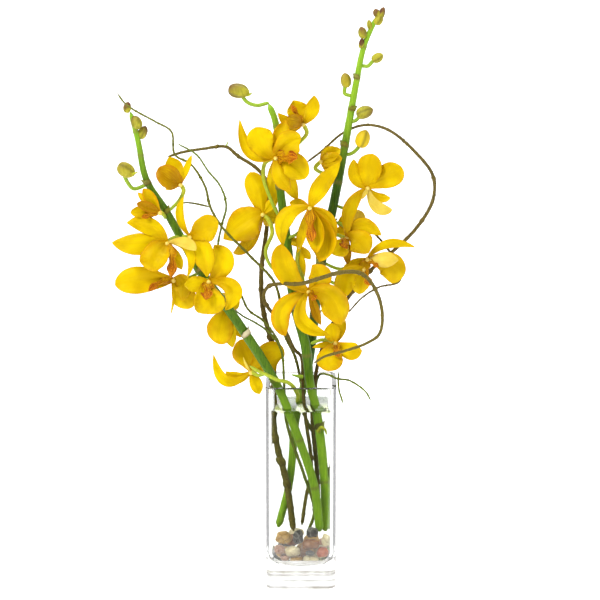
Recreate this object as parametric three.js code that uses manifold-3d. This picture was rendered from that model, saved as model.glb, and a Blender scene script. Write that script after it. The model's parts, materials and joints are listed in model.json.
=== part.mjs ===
// Orchid arrangement: three sprays of yellow orchids and curly twigs standing in a tall square
// glass vase, held by a clear fill over a bed of pebbles.
// Millimetres, +Z up. The origin is the centre of the vase's flat base and -Y is the front.
import * as THREE from 'three';
import { mergeVertices } from 'three/addons/utils/BufferGeometryUtils.js';
import Module from 'manifold-3d';

const wasm = await Module();
wasm.setup();

// ---- Driving dimensions -------------------------------------------------------------------

const VASE_WIDTH = 75;
const VASE_HEIGHT = 221;
const VASE_WALL = 5;
const VASE_BASE = 20;
const VASE_CORNER = 9;
const CAVITY_CORNER = 6;
const CAVITY_BOTTOM_ROUND = 18;

const FOOT_BEVEL = 1.2;
const RIM_BEVEL = 1;
const FLOOR_ARC_DEGREES = [10, 30, 50, 70, 90];
const FLOOR_SQUARENESS = 0.6;

const FILL_BELOW_RIM = 26;
const PEBBLE_DEPTH = 46;

// The vase that the routes are drawn for. When the vase changes, what stands in it moves along.
const DRAWN = { half: 32.5, outside: 37.5, base: 20, rim: 221, fade: 120 };

const GAP = 0.3;
const PETAL_THICKNESS = 1.2;
const PETAL_NECK = 0.16;
const NARROW_PETAL = 12.5;
const COLUMN_RADIUS = 4.4;
const COLUMN_LENGTH = 11;
const PEDICEL_RADIUS = 2.2;
const BUD_STALK_RADIUS = 1.9;

const PETAL_SHAPE = {
  plain: { lean: 1.15, fullness: 0.8 },
  blunt: { lean: 1.5, fullness: 0.6 },
};
const PETAL_STEPS = { narrow: [3, 1, 1], wide: [4, 2, 1] };

const CORNER_POINTS = 6;
const OVOID_TURNS = 7;
const OVOID_ROWS = 5;
const STEM_STEPS = 18;
const BUD_STALK_STEPS = 5;
const STEM_SIDES = 8;
const TWIG_SIDES = 5;
const PEDICEL_SIDES = 5;
const PEBBLE_TURN = 1.7;
const PEBBLE_ROLL = 0.9;

const FRONT = new THREE.Vector3(0, -1, 0.2).normalize();

// ---- Materials ----------------------------------------------------------------------------

const finish = (color, roughness, extra = {}) =>
  new THREE.MeshStandardMaterial({ color, roughness, metalness: 0, ...extra });

const glassFinish = finish(0xf2f7f6, 0.04, { transparent: true, opacity: 0.35 });
const fillFinish = finish(0xe9f0e4, 0.04, { transparent: true, opacity: 0.35 });
const stemFinish = finish(0x3f7d12, 0.5);
const petalFinish = finish(0xe3c004, 0.55);
const budFinish = finish(0x9c9a24, 0.6);
const twigFinish = finish(0x574a1c, 0.75);
const greenTwigFinish = finish(0x6f7d22, 0.7);

// ---- Routes -------------------------------------------------------------------------------
// Each stem and twig is a smooth curve from its foot in the vase to its tip.

const STEMS = {
  stem_left: {
    radii: [4.6, 4.6, 4.2, 2.2],
    route: [[20, -10, 58], [14, -13, 109], [-2, -15, 161], [-25, -17, 219], [-66, -28, 290],
      [-106, -35, 349], [-138, -40, 409], [-158, -43, 443], [-166, -45, 484], [-173, -46, 513]],
    buds: [
      { at: [-176, -47, 518], size: [4.8, 4.2, 6] },
      { at: [-167, -49, 503], size: [6.5, 5.5, 7.5] },
      { at: [-161, -43, 492], size: [5.5, 5, 7.5] },
    ],
  },
  stem_middle: {
    radii: [5, 4.8, 4.4, 2.8],
    route: [[26, 4, 55], [25, 3, 109], [16, 0, 191], [10, -2, 215], [5, -4, 258], [-7, -6, 306],
      [-15, -8, 374], [-22, -8, 433], [-26, -7, 496], [-33, -6, 516]],
    buds: [],
  },
  stem_right: {
    radii: [4, 4.6, 4.2, 2.2],
    route: [[-24, 14, 57], [-12, 15, 108], [-5, 16, 180], [6, 18, 222], [21, 24, 339],
      [35, 28, 408], [47, 31, 472], [58, 34, 534], [66, 36, 572], [79, 38, 602]],
    buds: [
      { at: [79, 37, 606], size: [4.6, 4.2, 5] },
      { at: [84, 37, 605.5], size: [4, 4, 7.5] },
      { at: [81, 36, 599], size: [5.4, 5, 6] },
      { at: [71.5, 36, 594], size: [3.2, 3.4, 5.5] },
      { at: [64, 34, 586], size: [5.2, 5, 6.6] },
      { at: [63, 34, 575], size: [3.4, 3.6, 5.6] },
    ],
  },
};

const TWIGS = {
  twig_trunk: {
    material: twigFinish,
    branches: [
      { radii: [2.6, 2.6, 2, 1.2], steps: 24,
        route: [[-8, 8, 55], [-15, 5, 108], [-28, 4, 165], [-29, 8, 215], [-30, 11, 252],
          [-40, 12, 294], [-42, 12, 335], [-36, 13, 385], [-35, 13, 430], [-46, 12, 446],
          [-66, 9, 460], [-78, 6, 470], [-100, 0, 469], [-123, -6, 466], [-138, -10, 462]] },
    ],
  },
  twig_right: {
    material: twigFinish,
    branches: [
      { radii: [1.8, 1.8, 1.7, 1], steps: 28,
        route: [[19, 14, 54], [17, 13, 117], [12, 9, 182], [14, 11, 212], [22, 21, 248],
          [42, 34, 290], [76, 40, 333], [96, 38, 351], [122, 30, 379], [139, 18, 412],
          [138, 8, 439], [121, 0, 463], [93, 2, 487], [69, 20, 491], [44, 44, 479],
          [22, 44, 460], [6, 36, 449]] },
      { radii: [1.1, 1, 0.9, 0.8], steps: 10,
        route: [[96, 38, 351], [108, 28, 339], [104, 22, 323], [83, 18, 318], [65, 20, 306],
          [50, 22, 289]] },
      { radii: [1.3, 1.2, 1.1, 0.9], steps: 3,
        route: [[96, 38, 351], [86, 38, 364], [75, 36, 376]] },
    ],
  },
  twig_front: {
    material: twigFinish,
    branches: [
      { radii: [1.5, 1.5, 1.9, 1.1], steps: 36,
        route: [[1, 11, 60], [5, 6, 91], [11, 5, 125], [5, 3, 180], [2, 8, 210], [0, 5, 245],
          [-7, -2, 255], [-19, -14, 283], [-37, -18, 308], [-39, -20, 318], [-34, -26, 328],
          [-22, -36, 333], [-1, -50, 336], [20, -60, 344], [42, -64, 351], [62, -62, 349],
          [76, -56, 332], [84, -48, 304], [81, -44, 281], [67, -48, 272], [46, -54, 266],
          [25, -54, 260], [13, -48, 251]] },
    ],
  },
  twig_far: {
    material: greenTwigFinish,
    branches: [
      { radii: [1.4, 1.4, 1.2, 0.8], steps: 28,
        route: [[23, 23, 53], [30, 24, 108], [19, 24, 148], [5, 25, 177], [0, 26, 211],
          [-6, 21, 240], [-18, 10, 270], [-27, -6, 326], [-55, -10, 359], [-82, -16, 389],
          [-94, -20, 411], [-99, -24, 433], [-113, -30, 457], [-129, -36, 468],
          [-132, -44, 493], [-148, -50, 504], [-176, -58, 522], [-185, -60, 534]] },
      { radii: [0.9, 0.9, 0.8, 0.8], steps: 4,
        route: [[-94, -20, 411], [-101, -22, 413], [-115, -24, 416], [-127, -26, 416]] },
    ],
  },
  twig_inner: {
    material: greenTwigFinish,
    branches: [
      { radii: [1.3, 1.3, 1.2, 0.8], steps: 18,
        route: [[7, -2, 54], [14, -3, 79], [3, -2, 120], [-9, -2, 155], [-16, -4, 183],
          [-18, -5, 220], [-21, -3, 254], [-32, -3, 272], [-49, -5, 285], [-61, -7, 292],
          [-73, -9, 302]] },
      { radii: [1.1, 1.1, 1, 0.8], steps: 18,
        route: [[-21, -3, 254], [-25, -4, 266], [-40, -6, 287], [-55, -9, 299], [-66, -9, 321],
          [-83, -7, 337], [-87, -6, 365], [-83, -5, 388], [-78, -5, 410], [-84, -8, 431],
          [-96, -12, 447], [-108, -16, 465], [-127, -20, 477]] },
    ],
  },
  twig_tendril: {
    material: greenTwigFinish,
    branches: [
      { radii: [1.2, 1.2, 1, 0.8], steps: 14,
        route: [[15, 27, 170], [16, 26, 190], [16, 22, 208], [20, 11, 224],
          [30, -3, 227], [39, -11, 225], [51, -14, 224], [68, -18, 213], [74, -19, 203]] },
      { radii: [0.9, 0.9, 0.8, 0.8], steps: 6,
        route: [[40, -9, 233], [39.5, -11, 224], [40.5, -12, 212], [45, -15, 198]] },
    ],
  },
};

// ---- Buds on their own stalks -------------------------------------------------------------

const BUDS = {
  bud_left_low: { at: [-178, -49, 454], size: [8.8, 8.3, 10.2], tilt: 120,
    stalk: [[-157, -42, 439], [-171, -44, 434], [-177, -47, 441], [-180, -49, 450]] },
  bud_middle_tip: { at: [-64, -7, 530], size: [8.8, 8.5, 11.5], tilt: 100,
    stalk: [[-34, -6, 517], [-45, -7, 515], [-55, -7, 518], [-61, -7, 525]] },
  bud_right_lowest: { at: [65, 24, 476], size: [8.8, 8, 10.2], tilt: 20,
    stalk: [[48, 31, 458], [54, 29, 460], [60, 26, 466], [64, 24, 473]] },
  bud_right_lower: { at: [67, 30, 503], size: [7.8, 7.6, 9.6], tilt: 70,
    stalk: [[52, 32, 493], [57, 31, 494], [62, 30, 499], [66, 30, 503]] },
  bud_right_upper: { at: [47, 36, 536], size: [6.4, 6.4, 8.2], tilt: -10,
    stalk: [[52, 34, 520], [46, 35, 522], [46, 36, 528], [47, 36, 533]] },
  bud_right_top: { at: [80, 34, 560], size: [6, 6, 6.8], tilt: 60,
    stalk: [[65, 36, 551], [70, 35, 551], [75, 34, 556], [79, 34, 559]] },
};

// ---- Blooms -------------------------------------------------------------------------------
// heart is where the petals meet. pedicel is the stalk's route, from the stem to the heart.
// Each petal's rib leaves the heart and passes through via to tip; both are from the heart.

const BLOOMS = {
  bud_left_opening: {
    heart: [-123, -47, 439],
    pedicel: [[-136, -41, 410], [-124, -44, 423], [-120, -46, 433]],
    petals: [
      { tip: [-23, -10, 17], via: [-11, -13, 10], wide: 23, cup: 0.5 },
      { tip: [-12, 5, 28], via: [-6, 6, 14], wide: 20, cup: 0.4 },
      { tip: [11, 3, 30], via: [6, 2, 15], wide: 7, cup: 0.1 },
      { tip: [-16, 0, -5], via: [-8, 0, -3], wide: 5, cup: 0.1 },
      { tip: [-19, 13, 6], via: [-10, 11, 2], wide: 14, cup: 0.3 },
    ],
  },
  bloom_left_top: {
    heart: [-144, -52, 411],
    pedicel: [[-139, -42, 403], [-141, -48, 408]],
    petals: [
      { tip: [-17, -5, 25], via: [-8, -2, 12], wide: 13, cup: 0.3, blunt: true },
      { tip: [-23, -11, 11], via: [-11, -6, 6], wide: 11, cup: 0.3, blunt: true },
      { tip: [-30, -6, 1], via: [-15, -3, 1], wide: 13, cup: 0.3, blunt: true },
      { tip: [-35, 3, -12], via: [-18, 2, -6], wide: 8, cup: 0.3 },
      { tip: [-24, 8, 19], via: [-12, 4, 10], wide: 9, cup: 0.1 },
      { tip: [-18, -14, -3], via: [-9, -7, -1], wide: 6, cup: 0.1 },
    ],
  },
  bloom_left_front: {
    heart: [-137, -56, 380],
    pedicel: [[-122, -39, 379], [-128, -46, 384], [-133, -50, 383]],
    petals: [
      { tip: [-56, -6, 2], via: [-27, -8, 0], wide: 23, cup: -0.2 },
      { tip: [-41, -3, 22], via: [-17, -2, 17], wide: 18, cup: 0.15 },
      { tip: [-14, -22, -26], via: [-10, -18, -8], wide: 30, cup: 0.35, blunt: true },
      { tip: [5, -24, -31], via: [6, -17, -12], wide: 11, cup: -0.5 },
      { tip: [30, -10, -6], via: [17, -9, 2], wide: 12, cup: -0.3, blunt: true },
      { tip: [15, -5, -27], via: [8, -2, -14], wide: 13, cup: 0.2 },
      { tip: [20, -2, -37], via: [23, -1, -9], wide: 9, cup: 0.1 },
    ],
  },
  bloom_left_upper: {
    heart: [-114, -49, 385],
    pedicel: [[-124, -39, 384], [-118, -43, 384]],
    petals: [
      { tip: [-5, -6, 43], via: [-10, -1, 21], wide: 9, cup: 0.2 },
      { tip: [30, -10, 12], via: [16, -9, 10], wide: 28, cup: 0.2, blunt: true },
      { tip: [18, -6, -41], via: [13, -9, -14], wide: 23, cup: -0.25 },
      { tip: [6, 5, -10], via: [3, 2, -5], wide: 8, cup: 0.1 },
    ],
  },
  bloom_left_centre: {
    heart: [-95, -51, 339],
    pedicel: [[-98, -37, 338], [-96, -43, 338]],
    petals: [
      { tip: [6, 3, 38], via: [14, -2, 20], wide: 25, cup: 0.15 },
      { tip: [17, -5, -30], via: [25, -8, -7], wide: 19, cup: 0.3 },
      { tip: [-1, -13, -33], via: [0, -13, -17], wide: 34, cup: 0.2, blunt: true },
      { tip: [-2, -27, -13], via: [-1, -11, -7], wide: 13, cup: 0.3 },
      { tip: [-25, -3, -5], via: [-12, -5, -2], wide: 18, cup: 0.2 },
    ],
  },
  bloom_left_low: {
    heart: [-132, -33, 337],
    pedicel: [[-104, -32, 345], [-117, -30, 338]],
    petals: [
      { tip: [-60, -14, -4], via: [-31, -12, 2], wide: 29, cup: 0.15, blunt: true },
      { tip: [-25, -19, -8], via: [-14, -10, -2], wide: 8, cup: 0.4 },
      { tip: [14, 0, -32], via: [9, -3, -15], wide: 25, cup: 0.2, blunt: true },
      { tip: [9, -6, -22], via: [10, -7, -4], wide: 20, cup: 0.2 },
      { tip: [-16, -5, 2], via: [-8, -2, 1], wide: 6, cup: 0.1 },
      { tip: [-3, -10, -35], via: [0, -5, -19], wide: 3.1, cup: 0.1 },
    ],
  },
  bloom_left_shade: {
    heart: [-79, -13, 302],
    pedicel: [[-75, -26, 302], [-77, -19, 302]],
    petals: [
      { tip: [-8, -10, -37], via: [-4, -9, -17], wide: 29, cup: 0.2, blunt: true },
      { tip: [7, 3, -44], via: [3, 2, -22], wide: 16, cup: 0.2 },
      { tip: [16, 6, -33], via: [8, 5, -17], wide: 13, cup: 0.1 },
      { tip: [14, 10, 7], via: [7, 5, 3], wide: 15, cup: 0.1 },
      { tip: [-5, 13, 14], via: [-2, 6, 7], wide: 14, cup: 0.1 },
    ],
  },
  bloom_left_rim: {
    heart: [-53, -8, 232],
    pedicel: [[-38, -22, 233], [-45, -16, 230]],
    petals: [
      { tip: [-11, 13, 32], via: [-5, 10, 15], wide: 27, cup: -0.2, blunt: true },
      { tip: [35, 8, 14], via: [20, 6, 15], wide: 33, cup: -0.25 },
      { tip: [-39, -3, 20], via: [-26, -4, -9], wide: 12, cup: 0.2 },
      { tip: [-27, 5, -1], via: [-15, 2, -7], wide: 13, cup: 0.2 },
      { tip: [9, -3, -24], via: [5, -4, -12], wide: 14, cup: 0.2 },
      { tip: [-8, -10, 18], via: [-4, -5, 7], wide: 2.6, cup: 0.1 },
    ],
  },
  bloom_middle_top: {
    heart: [2, -15, 497],
    pedicel: [[-24, -8, 472], [-9, -4, 471], [1, -5, 479], [6, -10, 487]],
    petals: [
      { tip: [12, -5, 30], via: [9, -6, 15], wide: 15, cup: 0.25 },
      { tip: [-10, 3, 24], via: [-5, 4, 12], wide: 23, cup: 0.3 },
      { tip: [-26, 0, 11], via: [-13, 0, 0], wide: 12, cup: 0.3 },
      { tip: [-17, -16, 8], via: [-9, -13, 5], wide: 16, cup: 0.5 },
      { tip: [-12, -13, 21], via: [-6, -10, 11], wide: 6, cup: 0.3 },
      { tip: [-17, 6, -4], via: [-8, 3, -2], wide: 13, cup: 0.2 },
    ],
  },
  bloom_middle_front: {
    heart: [-26, -28, 464],
    pedicel: [[-23, -12, 399], [-33, -15, 422], [-39, -17, 443], [-37, -20, 457]],
    petals: [
      { tip: [-36, -3, 40], via: [-26, -5, 6], wide: 13, cup: 0.2 },
      { tip: [-21, -5, 32], via: [-14, -6, 16], wide: 28, cup: 0.15, blunt: true },
      { tip: [10, 5, 38], via: [5, 0, 19], wide: 18, cup: 0.25 },
      { tip: [26, -10, 21], via: [15, -9, 17], wide: 27, cup: 0.35 },
      { tip: [22, -22, 3], via: [11, -9, 1], wide: 15, cup: 0.4 },
      { tip: [31, -5, -21], via: [17, -6, -6], wide: 28, cup: 0.2, blunt: true },
      { tip: [15, -14, -32], via: [4, -13, -16], wide: 16, cup: -0.3, blunt: true },
      { tip: [22, 14, -47], via: [11, 7, -23], wide: 17, cup: 0.1 },
      { tip: [-4, 27, -55], via: [-2, 14, -27], wide: 15, cup: 0.1 },
    ],
  },
  bloom_middle_back: {
    heart: [-40, -6, 401],
    pedicel: [[-13, -9, 336], [-30, -12, 345], [-37, -13, 362], [-30, -13, 383], [-34, -10, 396]],
    petals: [
      { tip: [-13, 0, 44], via: [-6, 2, 22], wide: 24, cup: -0.2, blunt: true },
      { tip: [-41, -3, -26], via: [-17, -7, -7], wide: 36, cup: -0.25 },
      { tip: [-10, 3, 3], via: [-5, 2, 1], wide: 6, cup: 0.1 },
      { tip: [-31, 14, -7], via: [-15, 7, -3], wide: 6, cup: 0.1 },
      { tip: [-33, 14, -44], via: [-14, 7, -31], wide: 14, cup: 0.1 },
      { tip: [17, 10, -8], via: [8, 5, -4], wide: 23, cup: -0.15 },
      { tip: [16, 8, 18], via: [8, 4, 9], wide: 11, cup: 0.1 },
    ],
  },
  bloom_middle_cup: {
    heart: [9, -30, 412],
    pedicel: [[-14, -10, 376], [-3, -17, 383], [4, -23, 397]],
    petals: [
      { tip: [32, 5, 46], via: [11, 0, 21], wide: 19, cup: 0.15 },
      { tip: [-27, -3, -40], via: [-25, -7, -9], wide: 18, cup: -0.15 },
      { tip: [-21, 11, 3], via: [-10, 6, 2], wide: 12, cup: 0.2 },
      { tip: [10, -19, -53], via: [9, -4, -27], wide: 31, cup: 0.75, blunt: true },
      { tip: [7, -24, -42], via: [5, -10, -21], wide: 20, cup: 0.6, blunt: true },
      { tip: [2, -26, -31], via: [1, -15, -15], wide: 11, cup: 0.2 },
      { tip: [21, 6, -45], via: [21, 3, -15], wide: 12, cup: 0.1 },
      { tip: [-13, 13, -50], via: [-7, 6, -25], wide: 10, cup: 0.1 },
    ],
  },
  bloom_middle_hidden: {
    heart: [-2, -15, 369],
    pedicel: [[-7, -8, 323], [2, -11, 331], [-4, -13, 351]],
    petals: [
      { tip: [0, -8, 18], via: [0, -4, 9], wide: 6, cup: 0.1 },
      { tip: [5, 3, -35], via: [3, 2, -17], wide: 7, cup: 0.1 },
      { tip: [12, 6, -16], via: [6, 3, -8], wide: 9, cup: 0.1 },
      { tip: [-9, 10, 7], via: [-5, 5, 3], wide: 9, cup: 0.1 },
    ],
  },
  bloom_middle_low: {
    heart: [8, -30, 324],
    pedicel: [[-8, -9, 310], [0, -18, 316]],
    petals: [
      { tip: [-29, -5, 51], via: [-23, -7, 22], wide: 26, cup: 0.2, blunt: true },
      { tip: [3, 5, 27], via: [11, -1, 13], wide: 26, cup: 0.2 },
      { tip: [34, -10, -34], via: [24, -12, -6], wide: 32, cup: -0.2, blunt: true },
      { tip: [23, -10, -45], via: [-7, -11, -29], wide: 16, cup: 0.2 },
      { tip: [-24, 10, -50], via: [-27, 2, -19], wide: 21, cup: 0.15, blunt: true },
      { tip: [13, 6, -38], via: [6, 3, -19], wide: 10, cup: 0.3 },
      { tip: [42, 10, -15], via: [23, 5, -11], wide: 12, cup: 0.1 },
      { tip: [7, -26, -4], via: [4, -13, -2], wide: 8, cup: 0.1 },
    ],
  },
  bloom_middle_rim: {
    heart: [36, -18, 266],
    pedicel: [[10, -6, 262], [22, -10, 267]],
    petals: [
      { tip: [-11, -18, -26], via: [-5, -15, -12], wide: 28, cup: 0.2, blunt: true },
      { tip: [28, -6, -8], via: [16, -7, -7], wide: 19, cup: 0.15 },
      { tip: [-5, 5, 20], via: [-3, 2, 10], wide: 18, cup: 0.15 },
      { tip: [9, 13, 26], via: [4, 6, 13], wide: 15, cup: 0.15 },
      { tip: [-24, 3, -6], via: [-12, 2, -3], wide: 6, cup: 0.1 },
      { tip: [3, -22, -10], via: [1, -10, -5], wide: 10, cup: 0.4 },
    ],
  },
  bud_right_opening: {
    heart: [21, 20, 453],
    pedicel: [[37, 29, 436], [26, 26, 438], [15, 22, 445]],
    petals: [
      { tip: [20, -6, 14], via: [10, -7, 7], wide: 16, cup: 0.4 },
      { tip: [22, -11, 4], via: [11, -10, 3], wide: 16, cup: 0.5 },
      { tip: [13, 0, -7], via: [6, 3, -4], wide: 13, cup: 0.3 },
      { tip: [13, 6, 15], via: [6, 3, 7], wide: 13, cup: 0.1 },
    ],
  },
  bloom_right_top: {
    heart: [70, 18, 425],
    pedicel: [[37, 28, 404], [48, 25, 402], [59, 22, 413]],
    petals: [
      { tip: [-15, 3, 30], via: [-12, -1, 12], wide: 16, cup: 0.2 },
      { tip: [5, -5, 37], via: [2, -6, 19], wide: 27, cup: 0.15, blunt: true },
      { tip: [35, -6, 24], via: [20, -7, 13], wide: 27, cup: 0.2, blunt: true },
      { tip: [24, 3, -11], via: [13, 2, -11], wide: 10, cup: 0.3, blunt: true },
      { tip: [26, -10, -22], via: [9, -7, -18], wide: 13, cup: 0.2, blunt: true },
      { tip: [-20, -14, -49], via: [-18, -11, -19], wide: 15, cup: -0.2 },
      { tip: [-6, -14, -10], via: [-3, -7, -5], wide: 4.3, cup: 0.1 },
    ],
  },
  bloom_right_shade: {
    heart: [51, 33, 377],
    pedicel: [[35, 29, 386], [42, 31, 384]],
    petals: [
      { tip: [-8, 0, 15], via: [-4, 0, 8], wide: 16, cup: 0.15 },
      { tip: [14, 0, 20], via: [7, -2, 11], wide: 19, cup: 0.2, blunt: true },
      { tip: [24, 6, 7], via: [12, 3, 4], wide: 17, cup: 0.1 },
      { tip: [-14, 3, -5], via: [-7, 2, -2], wide: 13, cup: 0.1 },
    ],
  },
  bloom_right_centre: {
    heart: [48, 9, 373],
    pedicel: [[30, 25, 371], [38, 19, 374], [44, 13, 373]],
    petals: [
      { tip: [37, 3, 2], via: [16, -1, 13], wide: 17, cup: 0.2 },
      { tip: [-16, -10, -16], via: [-6, -11, -7], wide: 21, cup: -0.3, blunt: true },
      { tip: [23, -8, -16], via: [11, -11, 0], wide: 28, cup: -0.3, blunt: true },
      { tip: [1, -3, -28], via: [0, -5, -13], wide: 10, cup: 0.1 },
      { tip: [5, 13, 15], via: [3, 6, 7], wide: 13, cup: 0.1 },
      { tip: [-5, -21, -6], via: [-2, -14, -2], wide: 11, cup: -0.3 },
    ],
  },
  bloom_right_low: {
    heart: [70, 12, 350],
    pedicel: [[22, 24, 344], [42, 26, 336], [58, 20, 343]],
    petals: [
      { tip: [51, -3, 12], via: [22, -4, 17], wide: 10, cup: 0.1 },
      { tip: [33, -14, 1], via: [16, -12, 1], wide: 17, cup: -0.5 },
      { tip: [26, 0, -27], via: [23, -2, -6], wide: 29, cup: 0.15, blunt: true },
      { tip: [-27, 3, -14], via: [-14, -1, -6], wide: 11, cup: 0.1 },
      { tip: [-5, -10, -14], via: [-3, -5, -7], wide: 13, cup: 0.2 },
      { tip: [11, -16, -6], via: [6, -8, -3], wide: 6, cup: 0.1 },
    ],
  },
  bloom_right_below: {
    heart: [66, 0, 341],
    pedicel: [[20, 23, 330], [39, 20, 321], [56, 10, 331]],
    petals: [
      { tip: [-22, -10, -29], via: [-18, -9, -7], wide: 23, cup: 0.2, blunt: true },
      { tip: [-5, -6, -26], via: [-3, -7, -12], wide: 21, cup: 0.15 },
      { tip: [7, -16, -14], via: [3, -10, -6], wide: 9, cup: 0.4 },
      { tip: [-29, 3, -9], via: [-15, -1, -4], wide: 13, cup: 0.1 },
    ],
  },
};

// ---- Pebbles ------------------------------------------------------------------------------

const PEBBLES = [
  { at: [-18.5, -20, 53.5], size: [8.8, 7.6, 7.2], color: 0xc8a063 },
  { at: [-3.2, -21, 54.5], size: [5.6, 6.6, 8], color: 0x4b4846 },
  { at: [10.5, -21, 46.5], size: [10.2, 7.6, 6], color: 0x9a6a35 },
  { at: [-23, -21, 40.5], size: [5.8, 6.6, 5.4], color: 0xb08a76 },
  { at: [-9, -22, 39], size: [9, 7.5, 5.8], color: 0xdccfae },
  { at: [-17, -17, 30.5], size: [5.5, 6.5, 4.8], color: 0xb38a74 },
  { at: [-5, -19, 28.5], size: [7, 8, 4.6], color: 0xcaa678 },
  { at: [10.5, -18, 28.5], size: [9, 8.5, 5], color: 0xcfc4b2 },
  { at: [23, -19, 37], size: [6.5, 7, 6], color: 0xb5562c },
  { at: [26.5, -20, 51], size: [5, 7, 7.5], color: 0xe0cbbb },
  { at: [9.5, -23, 36.8], size: [5.2, 5.4, 2.9], color: 0x47452c },
  { at: [12, -20, 59.5], size: [6.5, 6.5, 5.8], color: 0x43332f },
  { at: [-17, 2, 31], size: [10, 8.5, 7.5], color: 0xb99b74 },
  { at: [3, -1, 30], size: [9, 8.5, 8], color: 0x8a7560 },
  { at: [20, 1, 32], size: [7.5, 9, 8], color: 0xd3c2a2 },
  { at: [-9, 2, 45], size: [9, 8, 6.5], color: 0x94603a },
  { at: [11, -2, 46], size: [9, 7, 6.5], color: 0xb9a58c },
  { at: [-16, 20, 33], size: [10, 8, 8], color: 0x7c6f60 },
  { at: [5, 20, 31], size: [10, 8.5, 8], color: 0xc79a62 },
  { at: [23, 20, 36], size: [7, 8, 7.5], color: 0xa77d68 },
  { at: [-5, 21, 48], size: [9, 8, 6.5], color: 0xd8cdb6 },
];

// ---- Solids -------------------------------------------------------------------------------

function toSolid(geometry) {
  geometry.deleteAttribute('normal');
  geometry.deleteAttribute('uv');
  const merged = mergeVertices(geometry, 1e-4);
  return new wasm.Manifold(new wasm.Mesh({
    numProp: 3,
    vertProperties: new Float32Array(merged.attributes.position.array),
    triVerts: new Uint32Array(merged.index.array),
  }));
}

function toGeometry(solid) {
  const mesh = solid.getMesh();
  const geometry = new THREE.BufferGeometry();
  geometry.setAttribute('position', new THREE.BufferAttribute(mesh.vertProperties, 3));
  geometry.setIndex(new THREE.BufferAttribute(mesh.triVerts, 1));
  geometry.computeVertexNormals();
  return geometry;
}

const join = (solids) => solids.reduce((whole, solid) => whole.add(solid));

function biggestPiece(solid) {
  const pieces = solid.decompose();
  return pieces.reduce((best, piece) => (piece.volume() > best.volume() ? piece : best));
}

// Cuts from a solid what comes within the gap of its neighbours, each given already grown.
function clearOf(solid, grownNeighbours) {
  let rest = solid;
  for (const neighbour of grownNeighbours) {
    if (rest.intersect(neighbour).volume() > 0) {
      rest = rest.subtract(neighbour);
    }
  }
  return biggestPiece(rest);
}

// Moves every vertex of a unit geometry by a function of its position.
function reshape(geometry, place) {
  const position = geometry.attributes.position;
  const point = new THREE.Vector3();
  for (let i = 0; i < position.count; i += 1) {
    place(point.fromBufferAttribute(position, i));
    position.setXYZ(i, point.x, point.y, point.z);
  }
  return geometry;
}

const curveOf = (route) => new THREE.CatmullRomCurve3(
  route.map((point) => new THREE.Vector3(...settle(point))), false, 'centripetal');

const cavityHalf = VASE_WIDTH / 2 - VASE_WALL;
const cavityReach = cavityHalf / DRAWN.half;
const cavityRise = (VASE_HEIGHT - VASE_BASE) / (DRAWN.rim - DRAWN.base);

// Where a point drawn for the reference vase stands with the present one.
function settle([x, y, z]) {
  const outwards = (Math.max(Math.abs(x), Math.abs(y)) - DRAWN.half) / (DRAWN.outside - DRAWN.half);
  const beyondWall = z > DRAWN.rim ? 1 : THREE.MathUtils.clamp(outwards, 0, 1);
  const outerReach = VASE_WIDTH / 2 / DRAWN.outside;
  const reach = THREE.MathUtils.lerp(cavityReach, outerReach, beyondWall);
  const nearVase = THREE.MathUtils.clamp((DRAWN.rim + DRAWN.fade - z) / DRAWN.fade, 0, 1);
  const spread = THREE.MathUtils.lerp(1, reach, nearVase);
  const height = z > DRAWN.rim
    ? z + VASE_HEIGHT - DRAWN.rim
    : VASE_BASE + (z - DRAWN.base) * cavityRise;
  return [x * spread, y * spread, height];
}

// The radius at a share of the length, from radii given at even steps.
function radiusAt(radii, share) {
  const place = share * (radii.length - 1);
  const step = Math.min(Math.floor(place), radii.length - 2);
  return THREE.MathUtils.lerp(radii[step], radii[step + 1], place - step);
}

// A closed tapering rod along a route, wrapped from a capped cylinder.
function rod(route, radii, sides, steps, grow = 0) {
  const curve = curveOf(route);
  const frames = curve.computeFrenetFrames(steps, false);
  const centres = curve.getSpacedPoints(steps);
  return toSolid(reshape(new THREE.CylinderGeometry(1, 1, 1, sides, steps), (point) => {
    const row = Math.round((point.y + 0.5) * steps);
    const radius = radiusAt(radii, row / steps) + grow;
    const across = point.x * radius;
    const along = point.z * radius;
    point.copy(centres[row]);
    point.addScaledVector(frames.normals[row], across);
    point.addScaledVector(frames.binormals[row], -along);
  }));
}

function ovoid(at, [sizeX, sizeY, sizeZ], tiltDegrees = 0, grow = 0) {
  const shape = new THREE.SphereGeometry(1, OVOID_TURNS, OVOID_ROWS);
  shape.rotateX(Math.PI / 2);
  shape.scale(sizeX + grow, sizeY + grow, sizeZ + grow);
  shape.rotateY(THREE.MathUtils.degToRad(tiltDegrees));
  shape.translate(...settle(at));
  return toSolid(shape);
}

// ---- Vase and fill ------------------------------------------------------------------------

// One corner of a rounded square as an arc of points; the flats run between the corners.
function outlinePoint(index, half, corner) {
  const quarter = Math.floor(index / CORNER_POINTS);
  const turn = (index % CORNER_POINTS) / (CORNER_POINTS - 1);
  const angle = (quarter + turn) * Math.PI / 2;
  const facing = (quarter + 0.5) * Math.PI / 2;
  const centre = (half - corner) * Math.SQRT2;
  return [
    centre * Math.cos(facing) + corner * Math.cos(angle),
    centre * Math.sin(facing) + corner * Math.sin(angle),
  ];
}

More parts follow.
